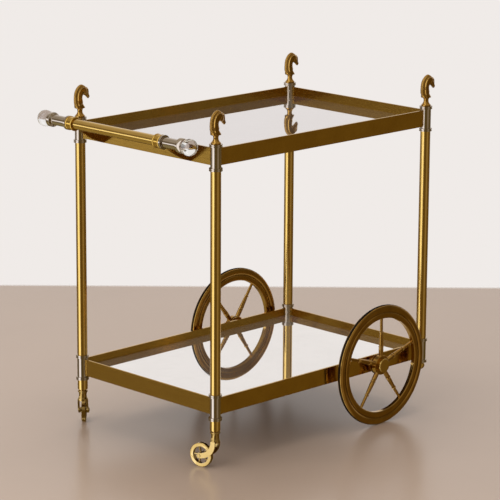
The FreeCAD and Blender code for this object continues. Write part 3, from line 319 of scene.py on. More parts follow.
def metal(name, light, dark, shine, grain=EVEN, worn=None, patches=26.0):
    """Aged metal: slightly darker patches, a fine grain along one axis, edges worn light, and hollows
    darkened as patina and painted shade.
    """
    material, tree, shader = new_finish(name)
    shader.inputs["Metallic"].default_value = 1.0
    patina = spread(tree, noise(tree, stretched(tree), patches, detail=5.0, roughness=0.62), *PATINA_SPAN)
    fine = noise(tree, stretched(tree, grain), METAL_GRAIN, detail=2.0)
    colour = blend_colours(tree, patina, light, dark)
    if worn:
        edges = node(tree, "ShaderNodeNewGeometry").outputs["Pointiness"]
        colour = blend_colours(tree, spread(tree, edges, *WORN_SPAN), colour, worn)
        # Hollows darkened: painted shade, together with the patina that gathers there
        colour = blend_colours(tree, spread(tree, edges, *HOLLOW_SHADE_AND_PATINA_SPAN), shaded(dark, HOLLOW_SHADE_AND_PATINA), colour)
    link(tree, colour, shader.inputs["Base Color"])
    dull = spread(tree, patina, bottom=shine, top=shine + PATINA_DULLS)
    link(tree, total(tree, dull, spread(tree, fine, *NOISE_SPAN, *GRAIN_DULLS)), shader.inputs["Roughness"])
    bumpy(tree, shader, fine, strength=0.02, distance=0.15 * MM)
    return material


def satin_brass(name, grain):
    return metal(name, light=(0.645, 0.425, 0.12, 1), dark=(0.595, 0.385, 0.10, 1), shine=0.12, grain=grain)


def mirror_finish(name, silver, veil):
    """Silvered glass under a thin film of dust, which pales what it mirrors."""
    material, tree, shader = new_finish(name)
    shader.inputs["Metallic"].default_value = 1.0
    film = spread(tree, noise(tree, stretched(tree), scale=9.0, detail=6.0, roughness=0.7), *FILM_SPAN)
    colour = blend_colours(tree, film, silver, shaded(silver, FILM_SHADE))
    link(tree, colour, shader.inputs["Base Color"])
    smooth_glass, dusty_glass = FILM_ROUGHNESS
    link(tree, spread(tree, film, bottom=smooth_glass, top=dusty_glass), shader.inputs["Roughness"])
    dust = node(tree, "ShaderNodeBsdfDiffuse", None, {"Color": DUST})
    thin, thick = DUST_UNEVEN
    cover = spread(tree, film, bottom=veil * thin, top=veil * thick)
    show_surface(tree, mixed(tree, cover, shader.outputs["BSDF"], dust.outputs["BSDF"]))
    return material


def glass_finish():
    """Clear cast glass, slightly wavy."""
    material, tree, shader = new_finish("clear_glass")
    shader.inputs["Base Color"].default_value = GLASS
    shader.inputs["Transmission Weight"].default_value = 1.0
    shader.inputs["IOR"].default_value = GLASS_INDEX
    waves = noise(tree, stretched(tree), scale=60.0, detail=2.0)
    link(tree, spread(tree, waves, *NOISE_SPAN, bottom=0.0, top=0.03), shader.inputs["Roughness"])
    bumpy(tree, shader, waves, strength=0.05, distance=0.3 * MM)
    return material


def board_finish():
    """Dark stained hardboard with short fibres."""
    material, tree, shader = new_finish("stained_hardboard")
    fibres = noise(tree, stretched(tree, BOARD_FIBRES), scale=420.0, detail=4.0, roughness=0.7)
    colour = blend_colours(tree, spread(tree, fibres, *NOISE_SPAN), BOARD_DARK, BOARD_LIGHT)
    link(tree, colour, shader.inputs["Base Color"])
    link(tree, spread(tree, fibres, *NOISE_SPAN, bottom=0.65, top=0.85), shader.inputs["Roughness"])
    bumpy(tree, shader, fibres, strength=0.25, distance=0.3 * MM)
    return material


def rubber_finish():
    """Black tread with a dusty, scuffed face."""
    material, tree, shader = new_finish("black_rubber")
    plain = stretched(tree)
    dust = spread(tree, noise(tree, plain, scale=45.0, detail=6.0, roughness=0.7), *RUBBER_SPAN)
    link(tree, blend_colours(tree, dust, RUBBER_BLACK, RUBBER_DUSTY), shader.inputs["Base Color"])
    link(tree, spread(tree, dust, bottom=0.6, top=0.85), shader.inputs["Roughness"])
    shader.inputs["Specular IOR Level"].default_value = RUBBER_SHEEN
    bumpy(tree, shader, noise(tree, plain, scale=900.0, detail=2.0), strength=0.15, distance=0.2 * MM)
    return material


FINISHES = {
    "satin_brass": satin_brass("satin_brass", ALONG_Z),
    "rail_brass": metal("rail_brass", light=(0.62, 0.385, 0.08, 1), dark=(0.52, 0.305, 0.055, 1),
                        shine=0.14, grain=ALONG_X),
    "dark_brass": metal("dark_brass", light=(0.46, 0.258, 0.056, 1), dark=(0.345, 0.183, 0.036, 1),
                        shine=0.11, worn=(0.58, 0.38, 0.13, 1), patches=34.0),
    "bright_brass": metal("bright_brass", light=(0.42, 0.275, 0.085, 1), dark=(0.35, 0.22, 0.062, 1),
                          shine=0.18, worn=(0.57, 0.405, 0.165, 1), patches=60.0),
    "nickel": metal("polished_nickel", light=(0.475, 0.40, 0.32, 1), dark=(0.42, 0.35, 0.27, 1), shine=0.06),
    "steel": metal("turned_steel", light=(0.50, 0.49, 0.48, 1), dark=(0.36, 0.35, 0.34, 1), shine=0.28),
    "mirror": mirror_finish("silvered_glass", silver=(0.80, 0.785, 0.80, 1), veil=0.03),
    "glass": glass_finish(),
    "board": board_finish(),
    "rubber": rubber_finish(),
}
# The trays' end rails: the rails' brass brushed across the cart and made darker, which paints shade on them
SHADED_END_RAIL_BRASS = metal("rail_brass_across_shaded", light=(0.50, 0.30, 0.055, 1), dark=(0.43, 0.245, 0.04, 1),
                       shine=0.14, grain=ALONG_Y)
# Pieces with another finish than their slot's: bars brushed across the cart, the trays' end rails in a darker
# brass that paints shade on them, small steel pieces that wear the brass of what they sit in, and the dustier
# lower mirror
OWN_FINISH = {
    "handle_bar": satin_brass("satin_brass_across", ALONG_Y),
    "wheel_axles": FINISHES["rail_brass"],
    "thrust_washers": FINISHES["dark_brass"],
    "caster_pin_near": FINISHES["bright_brass"],
    "caster_pin_far": FINISHES["bright_brass"],
    "lower_mirror": mirror_finish("dusty_silvered_glass", silver=(0.95, 0.94, 0.93, 1), veil=0.08),
}
for tier in TIERS:
    OWN_FINISH |= {f"{tier}_rail_{end}_end": SHADED_END_RAIL_BRASS for end in ("handle", "wheel")}


# Pieces

def seat_piece(piece, body, stands_for):
    """Finish a piece: its body and the frame's nodes that it stands for."""
    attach(piece, body)
    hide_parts(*stands_for)


def middle(name):
    """Middle of the box of one of the frame's nodes."""
    low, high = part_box(name)
    return (low + high) / 2


def round_over(mesh):
    """Smooth shading on every face."""
    mesh.polygons.foreach_set("use_smooth", [True] * len(mesh.polygons))


def smooth(mesh):
    """Smooth shading with crisp edges."""
    round_over(mesh)
    mesh.set_sharp_from_angle(angle=SHARP_ANGLE)


def soften(piece, width):
    """Rounded edges by a live bevel."""
    bevel = piece.modifiers.new("softened_edges", "BEVEL")
    bevel.width = width
    bevel.segments = EDGE_SEGMENTS
    bevel.limit_method = "ANGLE"
    bevel.angle_limit = SHARP_ANGLE
    bevel.harden_normals = True


def place_in_scene(name, content):
    """New object with its mesh, lamp or camera, linked to the scene."""
    made = bpy.data.objects.new(name, content)
    bpy.context.scene.collection.objects.link(made)
    return made


def show(name, mesh, material):
    """Mesh as an object with one finish."""
    mesh.materials.clear()
    mesh.materials.append(material)
    return place_in_scene(name, mesh)


def evaluated_mesh(piece):
    """Plain mesh of a piece with its modifiers applied."""
    bpy.context.view_layer.update()
    return bpy.data.meshes.new_from_object(piece.evaluated_get(bpy.context.evaluated_depsgraph_get()))


def merged_copy(name):
    """Copy of a node's mesh with its loose triangles joined and its flat faces whole."""
    mesh = frame["nodes"][name].data.copy()
    if "custom_normal" in mesh.attributes:
        mesh.attributes.remove(mesh.attributes["custom_normal"])
    shape = bmesh.new()
    shape.from_mesh(mesh)
    bmesh.ops.remove_doubles(shape, verts=shape.verts, dist=MERGE_DISTANCE)
    bmesh.ops.dissolve_limit(shape, angle_limit=FLAT_ANGLE, verts=shape.verts, edges=shape.edges)
    shape.to_mesh(mesh)
    shape.free()
    return mesh


def dress(name):
    """Softened copy of one of the frame's nodes, with its own finish or that of its slot."""
    slot = SLOTS[name]
    mesh = merged_copy(name)
    smooth(mesh)
    piece = show(f"{name}.soft", mesh, OWN_FINISH.get(name, FINISHES[slot]))
    soften(piece, EDGE_WIDTH.get(slot, PLAIN_EDGE))
    seat_piece(piece, frame["nodes"][name]["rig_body"], [name])


# Grown and turned pieces

def new_tree(name, inputs):
    """Geometry tree with named inputs; gives the tree, its input sockets and its output socket."""
    tree = bpy.data.node_groups.new(name, "GeometryNodeTree")
    tree.interface.new_socket("Geometry", in_out="INPUT", socket_type="NodeSocketGeometry")
    for label, kind in inputs:
        tree.interface.new_socket(label, in_out="INPUT", socket_type=f"NodeSocket{kind}")
    tree.interface.new_socket("Geometry", in_out="OUTPUT", socket_type="NodeSocketGeometry")
    return tree, node(tree, "NodeGroupInput").outputs, node(tree, "NodeGroupOutput").inputs["Geometry"]


def combined(tree, **parts):
    """Vector from constants or sockets by axis, with nothing on the other axes."""
    made = node(tree, "ShaderNodeCombineXYZ")
    for axis, value in parts.items():
        give(tree, value, made.inputs[axis])
    return made.outputs["Vector"]


def moved(tree, geometry, **changes):
    """Geometry with its Translation or Scale set by sockets."""
    made = node(tree, "GeometryNodeTransform")
    link(tree, geometry, made.inputs["Geometry"])
    for change, vector in changes.items():
        link(tree, vector, made.inputs[change])
    return made.outputs["Geometry"]


def copies(tree, points, instance, rotation):
    """One copy of the instance at each point, turned by the rotation."""
    made = node(tree, "GeometryNodeInstanceOnPoints")
    link(tree, points, made.inputs["Points"])
    link(tree, instance, made.inputs["Instance"])
    link(tree, rotation, made.inputs["Rotation"])
    return made.outputs["Instances"]


def finish_tree(tree, geometry, material, output):
    """Last steps of every tree: plain geometry with one finish."""
    real = node(tree, "GeometryNodeRealizeInstances")
    painted = node(tree, "GeometryNodeSetMaterial")
    link(tree, geometry, real.inputs["Geometry"])
    link(tree, real.outputs["Geometry"], painted.inputs["Geometry"])
    link(tree, material, painted.inputs["Material"])
    link(tree, painted.outputs["Geometry"], output)


def wheel_tree():
    """Copies of one spoke round an axle that runs across the cart."""
    tree, given, output = new_tree("spokes_round_axle", [
        ("Count", "Int"), ("Turn", "Float"), ("Axle", "Vector"), ("Material", "Material"),
    ])
    points = node(tree, "GeometryNodePoints")
    link(tree, given["Count"], points.inputs["Count"])
    pitch = total(tree, 2 * math.pi, given["Count"], "DIVIDE")
    angle = total(tree, pitch, node(tree, "GeometryNodeInputIndex").outputs["Index"], "MULTIPLY")
    turned = node(tree, "FunctionNodeEulerToRotation")
    link(tree, combined(tree, Y=total(tree, angle, given["Turn"])), turned.inputs["Euler"])
    spokes = copies(tree, points.outputs["Points"], given["Geometry"], turned.outputs["Rotation"])
    finish_tree(tree, moved(tree, spokes, Translation=given["Axle"]), given["Material"], output)
    return tree


def screw_head(tree, given):
    """Domed head, cut by a bar that leaves the slot."""
    radius = total(tree, given["Head Diameter"], 0.5, "MULTIPLY")
    dome = node(tree, "GeometryNodeMeshUVSphere", None, {"Segments": HEAD_SEGMENTS, "Rings": HEAD_RINGS})
    link(tree, radius, dome.inputs["Radius"])
    flatness = total(tree, given["Head Height"], radius, "DIVIDE")
    head = moved(tree, dome.outputs["Mesh"], Scale=combined(tree, X=1.0, Y=1.0, Z=flatness))
    length = total(tree, given["Head Diameter"], SLOT_OVERRUN, "MULTIPLY")
    bar = node(tree, "GeometryNodeMeshCube")
    link(tree, combined(tree, X=length, Y=given["Slot Width"], Z=given["Head Height"]), bar.inputs["Size"])
    cut = node(tree, "GeometryNodeMeshBoolean", {"operation": "DIFFERENCE"})
    link(tree, head, cut.inputs["Mesh 1"])
    link(tree, moved(tree, bar.outputs["Mesh"], Translation=combined(tree, Z=given["Head Height"])),
         cut.inputs["Mesh 2"])
    return cut.outputs["Mesh"]


def screw_shank(tree, given):
    """Plain shank that hangs from the head's seat."""
    shank = node(tree, "GeometryNodeMeshCylinder", None, {"Vertices": SHANK_SIDES})
    link(tree, total(tree, given["Shank Diameter"], 0.5, "MULTIPLY"), shank.inputs["Radius"])
    link(tree, given["Shank Length"], shank.inputs["Depth"])
    drop = total(tree, given["Shank Length"], -0.5, "MULTIPLY")
    return moved(tree, shank.outputs["Mesh"], Translation=combined(tree, Z=drop))


def screw_tree():
    """Slotted round-headed screws at points, each along its own heading."""
    tree, given, output = new_tree("slotted_screws", [
        ("Head Diameter", "Float"), ("Head Height", "Float"), ("Shank Diameter", "Float"),
        ("Shank Length", "Float"), ("Slot Width", "Float"), ("Material", "Material"),
    ])
    screw = node(tree, "GeometryNodeJoinGeometry")
    link(tree, screw_head(tree, given), screw.inputs["Geometry"])
    link(tree, screw_shank(tree, given), screw.inputs["Geometry"])
    heading = node(tree, "GeometryNodeInputNamedAttribute", {"data_type": "FLOAT_VECTOR"},
                   {"Name": "heading"})
    facing = node(tree, "FunctionNodeAlignRotationToVector", {"axis": "Z"})
    link(tree, heading.outputs["Attribute"], facing.inputs["Vector"])
    screws = copies(tree, given["Geometry"], screw.outputs["Geometry"], facing.outputs["Rotation"])
    finish_tree(tree, screws, given["Material"], output)
    return tree


def grow(name, mesh, tree, values):
    """Run a geometry tree on a mesh and keep the result as a plain mesh."""
    piece = place_in_scene(name, mesh)
    modifier = piece.modifiers.new("growth", "NODES")
    modifier.node_group = tree
    for socket in tree.interface.items_tree:
        if socket.in_out == "INPUT" and socket.name in values:
            modifier[socket.identifier] = values[socket.name]
    grown = evaluated_mesh(piece)
    piece.modifiers.remove(modifier)
    piece.data = grown
    smooth(grown)
    return piece


def lathe(name, profile, steps):
    """Mesh turned about its own Z axis from (radius, height) points, bottom to top on the outside."""
    shape = bmesh.new()
    line = [shape.verts.new((radius, 0, height)) for radius, height in profile]
    edges = [shape.edges.new(pair) for pair in zip(line, line[1:])]
    bmesh.ops.spin(shape, geom=line + edges, axis=(0, 0, 1), cent=(0, 0, 0), angle=2 * math.pi, steps=steps)
    bmesh.ops.remove_doubles(shape, verts=shape.verts, dist=MERGE_DISTANCE)
    bmesh.ops.recalc_face_normals(shape, faces=shape.faces)
    mesh = bpy.data.meshes.new(name)
    shape.to_mesh(mesh)
    shape.free()
    return mesh


# Wheels

def finely(profile, longest):
    """Same profile with its long runs divided, so that wear keeps to the edges."""
    points = list(profile[:1])
    for start, stop in zip(profile, profile[1:]):
        start, stop = Vector(start), Vector(stop)
        parts = math.ceil((stop - start).length / longest)
        points += [tuple(start.lerp(stop, part / parts)) for part in range(1, parts + 1)]
    return points


def bead(centre, width, radius, foot):
    """Profile points of a half-round bead on a spoke of the foot's radius."""
    turns = [math.pi * step / BEAD_STEPS for step in range(BEAD_STEPS + 1)]
    return [(foot + (radius - foot) * math.sin(turn), centre - math.cos(turn) * width / 2) for turn in turns]


def spoke_profile():
    """A turned spoke from the hub to the rim: a thick shank, a bead, a taper, a bead and a slim tip."""
    run = SPOKE_RIM - SPOKE_HUB
    inner, outer = SPOKE_HUB + INNER_BEAD * run, SPOKE_HUB + OUTER_BEAD * run
    width = SPOKE_BEAD_WIDTH
    end, neck = SPOKE_ROOT * ROOT_END, SPOKE_ROOT * ROOT_NECK
    points = [(0, SPOKE_HUB), (end, SPOKE_HUB), (SPOKE_ROOT, inner - RUN_REACH * width)]
    points += [(neck, inner - NECK_REACH * width)]
    points += bead(inner, width, SPOKE_BEAD, neck)
    points += [(neck, inner + NECK_REACH * width), (end, inner + RUN_REACH * width)]
    points += [(SPOKE_ROOT * TAPER_END, outer - TAPER_REACH * width), (SPOKE_TIP, outer - NECK_REACH * width)]
    points += bead(outer, width, SPOKE_BEAD * SMALL_BEAD, SPOKE_TIP)
    points += [(SPOKE_TIP, outer + NECK_REACH * width), (SPOKE_TIP * TIP_SWELL, outer + RUN_REACH * width)]
    points += [(SPOKE_TIP, SPOKE_RIM), (0, SPOKE_RIM)]
    return points


def build_spokes():
    tree = wheel_tree()
    for side in SIDES:
        spoke = lathe("spoke", finely(spoke_profile(), SPOKE_GRAIN), SPOKE_STEPS)
        piece = grow(f"turned_spokes_{side}", spoke, tree, {
            "Count": SPOKE_COUNT, "Turn": SPOKE_TURN[side], "Axle": middle(f"wheel_tyre_{side}"),
            "Material": FINISHES["dark_brass"],
        })
        seat_piece(piece, f"wheel_{side}", [f"wheel_spokes_{side}"])


def crown(first, top, last):
    """Points on the curve from first over the top to last."""
    start, peak, stop = [Vector(point) for point in (first, top, last)]
    bend = 2 * peak - (start + stop) / 2
    shares = [step / CROWN_STEPS for step in range(CROWN_STEPS + 1)]
    return [
        tuple(start * (1 - share) ** 2 + bend * 2 * share * (1 - share) + stop * share ** 2)
        for share in shares
    ]


def shoulder(centre, radius, lean):
    """Points on the arc that rounds a band's outward edge, on from a normal that leans by some degrees."""
    shares = [step / SHOULDER_STEPS for step in range(1, SHOULDER_STEPS + 1)]
    turns = [math.radians(lean + (90 - lean) * share) for share in shares]
    return [(centre[0] - radius * math.sin(turn), centre[1] + radius * math.cos(turn)) for turn in turns]


def rim_profile(edge):
    """Closed outline across a moulded rim of this edge radius: bore, crowned bands and the tread's seat."""
    inner = [RIM_BORE] + crown(*RIM_INNER_BAND) + shoulder(*RIM_INNER_SHOULDER)
    half = inner + RIM_GROOVE + crown(*RIM_OUTER_BAND) + shoulder(*RIM_OUTER_SHOULDER) + RIM_SEAT
    right = [(edge - depth * MM, width * MM) for depth, width in half]
    left = [(radius, -width) for radius, width in reversed(right)]
    return right + left + right[:1]


def build_rims():
    for side in SIDES:
        low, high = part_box(f"wheel_tyre_{side}")
        edge = (high.z - low.z) / 2 - TYRE_PROUD * MM
        mesh = lathe(f"rim_{side}", rim_profile(edge), RIM_STEPS)
        mesh.transform(Matrix.Translation((low + high) / 2) @ Matrix.Rotation(math.pi / 2, 4, "X"))
        smooth(mesh)
        piece = show(f"turned_rim_{side}", mesh, FINISHES["dark_brass"])
        seat_piece(piece, f"wheel_{side}", [f"wheel_rim_{side}"])


# Screws and balls

def point_cloud(name, places):
    """Mesh of bare points with a heading each."""
    mesh = bpy.data.meshes.new(name)
    mesh.from_pydata([place for place, heading in places], [], [])
    headings = mesh.attributes.new("heading", "FLOAT_VECTOR", "POINT")
    headings.data.foreach_set("vector", [part for place, heading in places for part in heading])
    return mesh


def lock_screw_places():
    """Where the sleeves' lock screws sit, on the side of each post that faces the tray's middle."""
    places = []
    for corner in CORNERS:
        axis = middle(f"post_tube_{corner}")
        heading = Vector((1 if "handle" in corner else -1, 1 if "near" in corner else -1, 0)).normalized()
        for tier in TIERS:
            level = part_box(f"{tier}_rail_near")[1].z - LOCK_SCREW_DROP
            places.append((Vector((axis.x, axis.y, level)) + heading * LOCK_SCREW_SEAT, heading))
    return places


def bracket_screw_places(low, high):
    """Where the handle's bracket screws sit, at the corners of the box that holds them."""
    places = []
    for y in (low.y, high.y):
        across = y - math.copysign(BRACKET_HEAD / 2, y)
        for z in (low.z + BRACKET_HEAD / 2, high.z - BRACKET_HEAD / 2):
            places.append((Vector((high.x - BRACKET_HEAD_HEIGHT, across, z)), Vector((1, 0, 0))))
    return places


def build_screws():
    tree = screw_tree()
    piece = grow("slotted_lock_screws", point_cloud("lock_screw_places", lock_screw_places()), tree, {
        "Head Diameter": LOCK_HEAD, "Head Height": LOCK_HEAD_HEIGHT, "Slot Width": LOCK_SLOT,
        "Shank Diameter": LOCK_SHANK, "Shank Length": LOCK_SHANK_LENGTH, "Material": FINISHES["nickel"],
    })
    seat_piece(piece, "frame", ["lock_screws"])
    low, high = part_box("bracket_screws")
    cloud = point_cloud("bracket_screw_places", bracket_screw_places(low, high))
    piece = grow("slotted_bracket_screws", cloud, tree, {
        "Head Diameter": BRACKET_HEAD, "Head Height": BRACKET_HEAD_HEIGHT, "Slot Width": BRACKET_SLOT,
        "Shank Diameter": BRACKET_SHANK, "Shank Length": high.x - BRACKET_HEAD_HEIGHT - low.x,
        "Material": FINISHES["steel"],
    })
    seat_piece(piece, "frame", ["bracket_screws"])


def ball_profile(radius):
    """Outline of a ball from the end of its blind hole, round its mouth, to the far pole."""
    mouth = math.asin(BALL_BORE / radius)
    arc = math.pi - mouth
    turns = [mouth - math.pi / 2 + arc * step / BALL_ARC_STEPS for step in range(BALL_ARC_STEPS)]
    hole_end = BALL_BORE_DEPTH - radius
    outside = [(radius * math.cos(turn), radius * math.sin(turn)) for turn in turns]
    return [(0, hole_end), (BALL_BORE, hole_end)] + outside + [(0, radius)]


def build_balls():
    """Smooth glass balls with a blind hole for the rod, turned about the handle's axis."""
    for side, sign in SIDES.items():
        low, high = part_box(f"glass_ball_{side}")
        radius = (high.x - low.x) / 2
        mesh = lathe(f"ball_{side}", ball_profile(radius), BALL_STEPS)
        pole = low.y if sign < 0 else high.y
        centre = Vector(((low.x + high.x) / 2, pole - sign * radius, (low.z + high.z) / 2))
        mesh.transform(Matrix.Translation(centre) @ Matrix.Rotation(-sign * math.pi / 2, 4, "X"))
        smooth(mesh)
        piece = show(f"turned_ball_{side}", mesh, FINISHES["glass"])
        seat_piece(piece, "frame", [f"glass_ball_{side}"])


# Carved horse heads

def falloff(distance, reach):
    """Soft bump of height one that fades over the reach."""
    return np.exp(-(distance / reach) ** 2)


def ramp(value, length):
    """Nothing below zero, then a straight rise to one over the length."""
    return np.clip(value / length, 0, 1)


def along_line(points, line):
    """Distance of points (x, z) from a bent line, and how far along it their nearest spots lie."""
    best = np.full(len(points), np.inf)
    run = np.zeros(len(points))
    start_run = 0.0
    for start, stop in zip(line, line[1:]):
        start, stop = np.array(start), np.array(stop)
        step = stop - start
        length = float(np.linalg.norm(step))
        share = np.clip(((points - start) @ step) / length ** 2, 0, 1)
        gap = np.linalg.norm(points - (start + share[:, None] * step), axis=1)
        nearer = gap < best
        best[nearer] = gap[nearer]
        run[nearer] = start_run + share[nearer] * length
        start_run += length
    return best, run


def mane_depth(flat, side):
    """Locks cut into the mane, and the neck standing proud of it behind the eye."""
    gap, run = along_line(flat, MANE_LINE)
    locks = 0.5 + 0.5 * np.cos(2 * math.pi * (run + MANE_SLANT * gap) / MANE_PITCH)
    in_mane = ramp(MANE_DEPTH - gap, MANE_FADE) * ramp(run, MANE_START)
    neck = np.clip((gap - MANE_DEPTH) / NECK_SHOULDER + 0.5, 0, 1)
    behind_eye = ramp(EYE[0] - EYE_CLEAR - flat[:, 0], EYE_FADE)
    proud = NECK_PROUD * neck * behind_eye - MANE_SUNK * (1 - neck)
    return -MANE_CUT * in_mane * locks ** 2 + side * proud * ramp(run, NECK_START)


def carve_depth(points):
    """How far the surface of a horse's head is raised or cut at points in millimetres from its seat."""
    flat = points[:, [0, 2]]
    side = ramp(np.abs(points[:, 1]) - SIDE_START, SIDE_FADE)

    def away(place):
        return np.hypot(flat[:, 0] - place[0], flat[:, 1] - place[1])

    def spot(place, height, reach):
        return height * falloff(away(place), reach)

    def ring(place, height, radius, reach):
        return height * falloff(np.abs(away(place) - radius), reach)

    def ridge(line, height, reach):
        return height * falloff(along_line(flat, line)[0], reach)

    jaw = ring(CHEEK, *JAW_GROOVE) * (flat[:, 0] < CHEEK[0] + JAW_FRONT)
    ear_run = along_line(flat, EAR_LINE)[1]
    ear = ridge(EAR_LINE, *EAR_RIDGE) * (1 - EAR_TAPER * ear_run / ear_run.max())
    depth = mane_depth(flat, side)
    depth += side * (spot(CHEEK, *CHEEK_SWELL) + jaw)
    depth += side * (spot(EYE, *EYEBALL) + ring(EYE, *EYE_SOCKET))
    depth += side * ridge(BROW_LINE, *BROW_RIDGE)
    depth += side * (ring(NOSTRIL, *NOSTRIL_RIM) + spot(NOSTRIL, *NOSTRIL_HOLE))
    depth += ridge(MOUTH_LINE, *MOUTH_CUT)
    depth += side * ear
    return depth


def fine_blank(seat):
    """Fine, rubbed skin of the first finial, moved to stand on the origin."""
    mesh = merged_copy(f"horse_finial_{CORNERS[0]}")
    mesh.transform(Matrix.Translation(-seat))
    piece = show("horse_blank", mesh, FINISHES["dark_brass"])
    skin = piece.modifiers.new("fine_skin", "REMESH")
    skin.mode = "VOXEL"
    skin.voxel_size = HORSE_GRAIN
    rubbed = piece.modifiers.new("rubbed", "SMOOTH")
    rubbed.factor, rubbed.iterations = RUB_SHARE, RUB_ROUNDS
    blank = evaluated_mesh(piece)
    bpy.data.objects.remove(piece)
    return blank


def carve(blank):
    """Move the blank's skin in and out along its normals, above the turned foot."""
    count = len(blank.vertices)
    points, normals = np.zeros(count * 3), np.zeros(count * 3)
    blank.vertices.foreach_get("co", points)
    blank.vertex_normals.foreach_get("vector", normals)
    points, normals = points.reshape(-1, 3), normals.reshape(-1, 3)
    depth = carve_depth(points / MM) * ramp(points[:, 2] / MM - HORSE_FOOT, FOOT_FADE)
    blank.vertices.foreach_set("co", (points + normals * depth[:, None] * MM).ravel())
    blank.update()


def build_horses():
    """Carved copies of the frame's finials: a fine skin, smoothed, then cut along the mane and face."""
    seat = middle(f"post_tube_{CORNERS[0]}")
    seat.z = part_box(f"horse_finial_{CORNERS[0]}")[0].z
    carved = fine_blank(seat)
    carve(carved)
    for corner in CORNERS:
        copy = carved.copy()
        place = middle(f"post_tube_{corner}")
        copy.transform(Matrix.Translation((place.x, place.y, seat.z)))
        round_over(copy)
        piece = show(f"carved_horse_{corner}", copy, FINISHES["dark_brass"])
        seat_piece(piece, "frame", [f"horse_finial_{corner}"])
    bpy.data.meshes.remove(carved)


# Floor, light and camera

def build_floor():
    """Pale floor with a soft polish, clear past its edges and to what is mirrored."""
    material, tree, shader = new_finish("pale_floor")
    grain = spread(tree, noise(tree, stretched(tree), scale=3.0, detail=5.0), *NOISE_SPAN)
    link(tree, blend_colours(tree, grain, FLOOR, shaded(FLOOR, FLOOR_SHADE)), shader.inputs["Base Color"])
    shader.inputs["Roughness"].default_value = FLOOR_ROUGHNESS
    place = node(tree, "ShaderNodeNewGeometry").outputs["Position"]
    behind = spread(tree, measured(tree, place, "DOT_PRODUCT", HEADING), *FLOOR_BACK)
    around = spread(tree, measured(tree, place, "LENGTH"), *FLOOR_ROUND)
    clear = node(tree, "ShaderNodeBsdfTransparent").outputs["BSDF"]
    faded = mixed(tree, total(tree, behind, around, "MAXIMUM"), shader.outputs["BSDF"], clear)
    mirrored = node(tree, "ShaderNodeLightPath").outputs["Is Glossy Ray"]
    show_surface(tree, mixed(tree, mirrored, faded, clear))
    shape = bmesh.new()
    bmesh.ops.create_grid(shape, x_segments=1, y_segments=1, size=FLOOR_REACH)
    mesh = bpy.data.meshes.new("floor")
    shape.to_mesh(mesh)
    shape.free()
    show("floor", mesh, material)


def band(tree, direction, bearing, half):
    """One inside an upright band round a bearing, fading to nothing at its edges."""
    flat = node(tree, "ShaderNodeVectorMath", {"operation": "MULTIPLY"})
    link(tree, direction, flat.inputs[0])
    flat.inputs[1].default_value = (1, 1, 0)
    level = node(tree, "ShaderNodeVectorMath", {"operation": "NORMALIZE"})
    link(tree, flat.outputs["Vector"], level.inputs[0])
    turn = math.radians(bearing)
    nearness = measured(tree, level.outputs["Vector"], "DOT_PRODUCT", (math.cos(turn), math.sin(turn), 0))
    return spread(tree, nearness, *[math.cos(math.radians(width)) for width in reversed(half)])


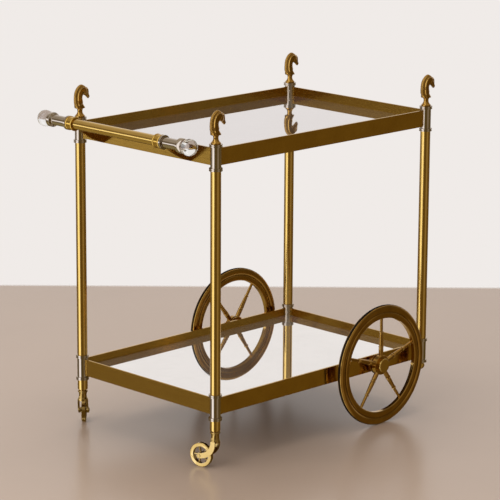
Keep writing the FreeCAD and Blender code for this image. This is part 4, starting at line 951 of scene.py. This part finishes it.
def build_world():
    """Pale wall for the camera, a room with a window for what is mirrored, soft light for what is lit."""
    world = bpy.data.worlds.new("studio")
    bpy.context.scene.world = world
    world.use_nodes = True
    tree = world.node_tree
    tree.nodes.clear()
    paths = node(tree, "ShaderNodeLightPath").outputs
    direction = node(tree, "ShaderNodeTexCoord").outputs["Generated"]
    height = measured(tree, direction, "DOT_PRODUCT", (0, 0, 1))
    ahead = measured(tree, direction, "DOT_PRODUCT", HEADING)

    def light(colour, strength=1.0):
        glow = node(tree, "ShaderNodeBackground", None, {"Color": colour, "Strength": strength})
        return glow.outputs["Background"]

    def above(span):
        return spread(tree, height, *span)

    def below(span):
        return spread(tree, height, *span, bottom=1.0, top=0.0)

    def near(bearing, half):
        return band(tree, direction, bearing, half)

    def both(first, second):
        return total(tree, first, second, "MULTIPLY")

    room = mixed(tree, above(ROOM_MIDDLE), light(ROOM_LOW), light(ROOM_HIGH))
    room = mixed(tree, both(near(UPPER_BEARING, UPPER_HALF), above(UPPER_FADE)), room, light(UPPER_ROOM))
    room = mixed(tree, both(spread(tree, ahead, *ROOM_FADE), above(WALL_FOOT)), room, light(WALL))
    room = mixed(tree, above(CEILING_FADE), room, light(CEILING))
    room = mixed(tree, near(LAMP_BEARING, LAMP_HALF), room, light(LAMP))
    pane = mixed(tree, above(PANE_TOP), light(PANE), light(CEILING))
    pane = mixed(tree, both(above(SILL_FOOT), below(SILL_TOP)), pane, light(WINDOW, SILL_STRENGTH))
    room = mixed(tree, both(near(PANE_BEARING, PANE_HALF), above(PANE_FOOT)), room, pane)
    room = mixed(tree, both(near(LIT_BEARING, LIT_HALF), below(LIT_TOP)), room, light(LIT_FLOOR))
    room = mixed(tree, near(WINDOW_BEARING, WINDOW_HALF), room, light(WINDOW, WINDOW_STRENGTH))
    through_glass = mixed(tree, above(FAR_FLOOR_EDGE), light(FAR_FLOOR), light(WALL))
    shown = mixed(tree, paths["Is Glossy Ray"], light(WALL, SOFT_LIGHT), room)
    shown = mixed(tree, paths["Is Transmission Ray"], shown, through_glass)
    shown = mixed(tree, paths["Is Camera Ray"], shown, light(WALL))
    link(tree, shown, node(tree, "ShaderNodeOutputWorld").inputs["Surface"])


def face(holder, place, aim, roll=0.0):
    """Stand a lamp or camera at a place, facing the aim, rolled about its own axis."""
    holder.location = place
    holder.rotation_mode = "QUATERNION"
    facing = (Vector(aim) - Vector(place)).to_track_quat("-Z", "Y")
    holder.rotation_quaternion = facing @ Quaternion((0, 0, 1), roll)


def softbox(name, place, aim, width, height, watts):
    """Soft lamp that lights without being seen or mirrored."""
    lamp = bpy.data.lights.new(name, "AREA")
    lamp.shape = "RECTANGLE"
    lamp.size, lamp.size_y = width, height
    lamp.energy = watts
    lamp.color = DAYLIGHT
    holder = place_in_scene(name, lamp)
    face(holder, place, aim)
    holder.visible_camera = holder.visible_glossy = holder.visible_transmission = False


def build_camera():
    camera = bpy.data.cameras.new("camera")
    camera.lens = CAMERA_LENS
    camera.sensor_width = CAMERA_SENSOR
    holder = place_in_scene("camera", camera)
    face(holder, CAMERA_PLACE, CAMERA_AIM, CAMERA_ROLL)
    bpy.context.scene.camera = holder


MADE_HERE = {"lock_screws", "bracket_screws"}
MADE_HERE |= {f"{kind}_{side}" for kind in ("wheel_rim", "wheel_spokes", "glass_ball") for side in SIDES}
MADE_HERE |= {f"horse_finial_{corner}" for corner in CORNERS}
for name in sorted(set(SLOTS) - MADE_HERE):
    dress(name)
build_rims()
build_spokes()
build_screws()
build_balls()
build_horses()
build_floor()
build_world()
softbox("key", place=(-2.57, 0.35, 1.1), aim=(0, 0, 0.4), width=2.0, height=2.1, watts=30)
softbox("fill", place=(0.25, -2.59, 1.1), aim=(0, 0, 0.4), width=0.9, height=1.9, watts=5)
softbox("top", place=(0.2, 0.2, 3.2), aim=(0, 0, 0), width=2.6, height=2.6, watts=38)
build_camera()
bpy.context.scene.view_settings.view_transform = "Standard"
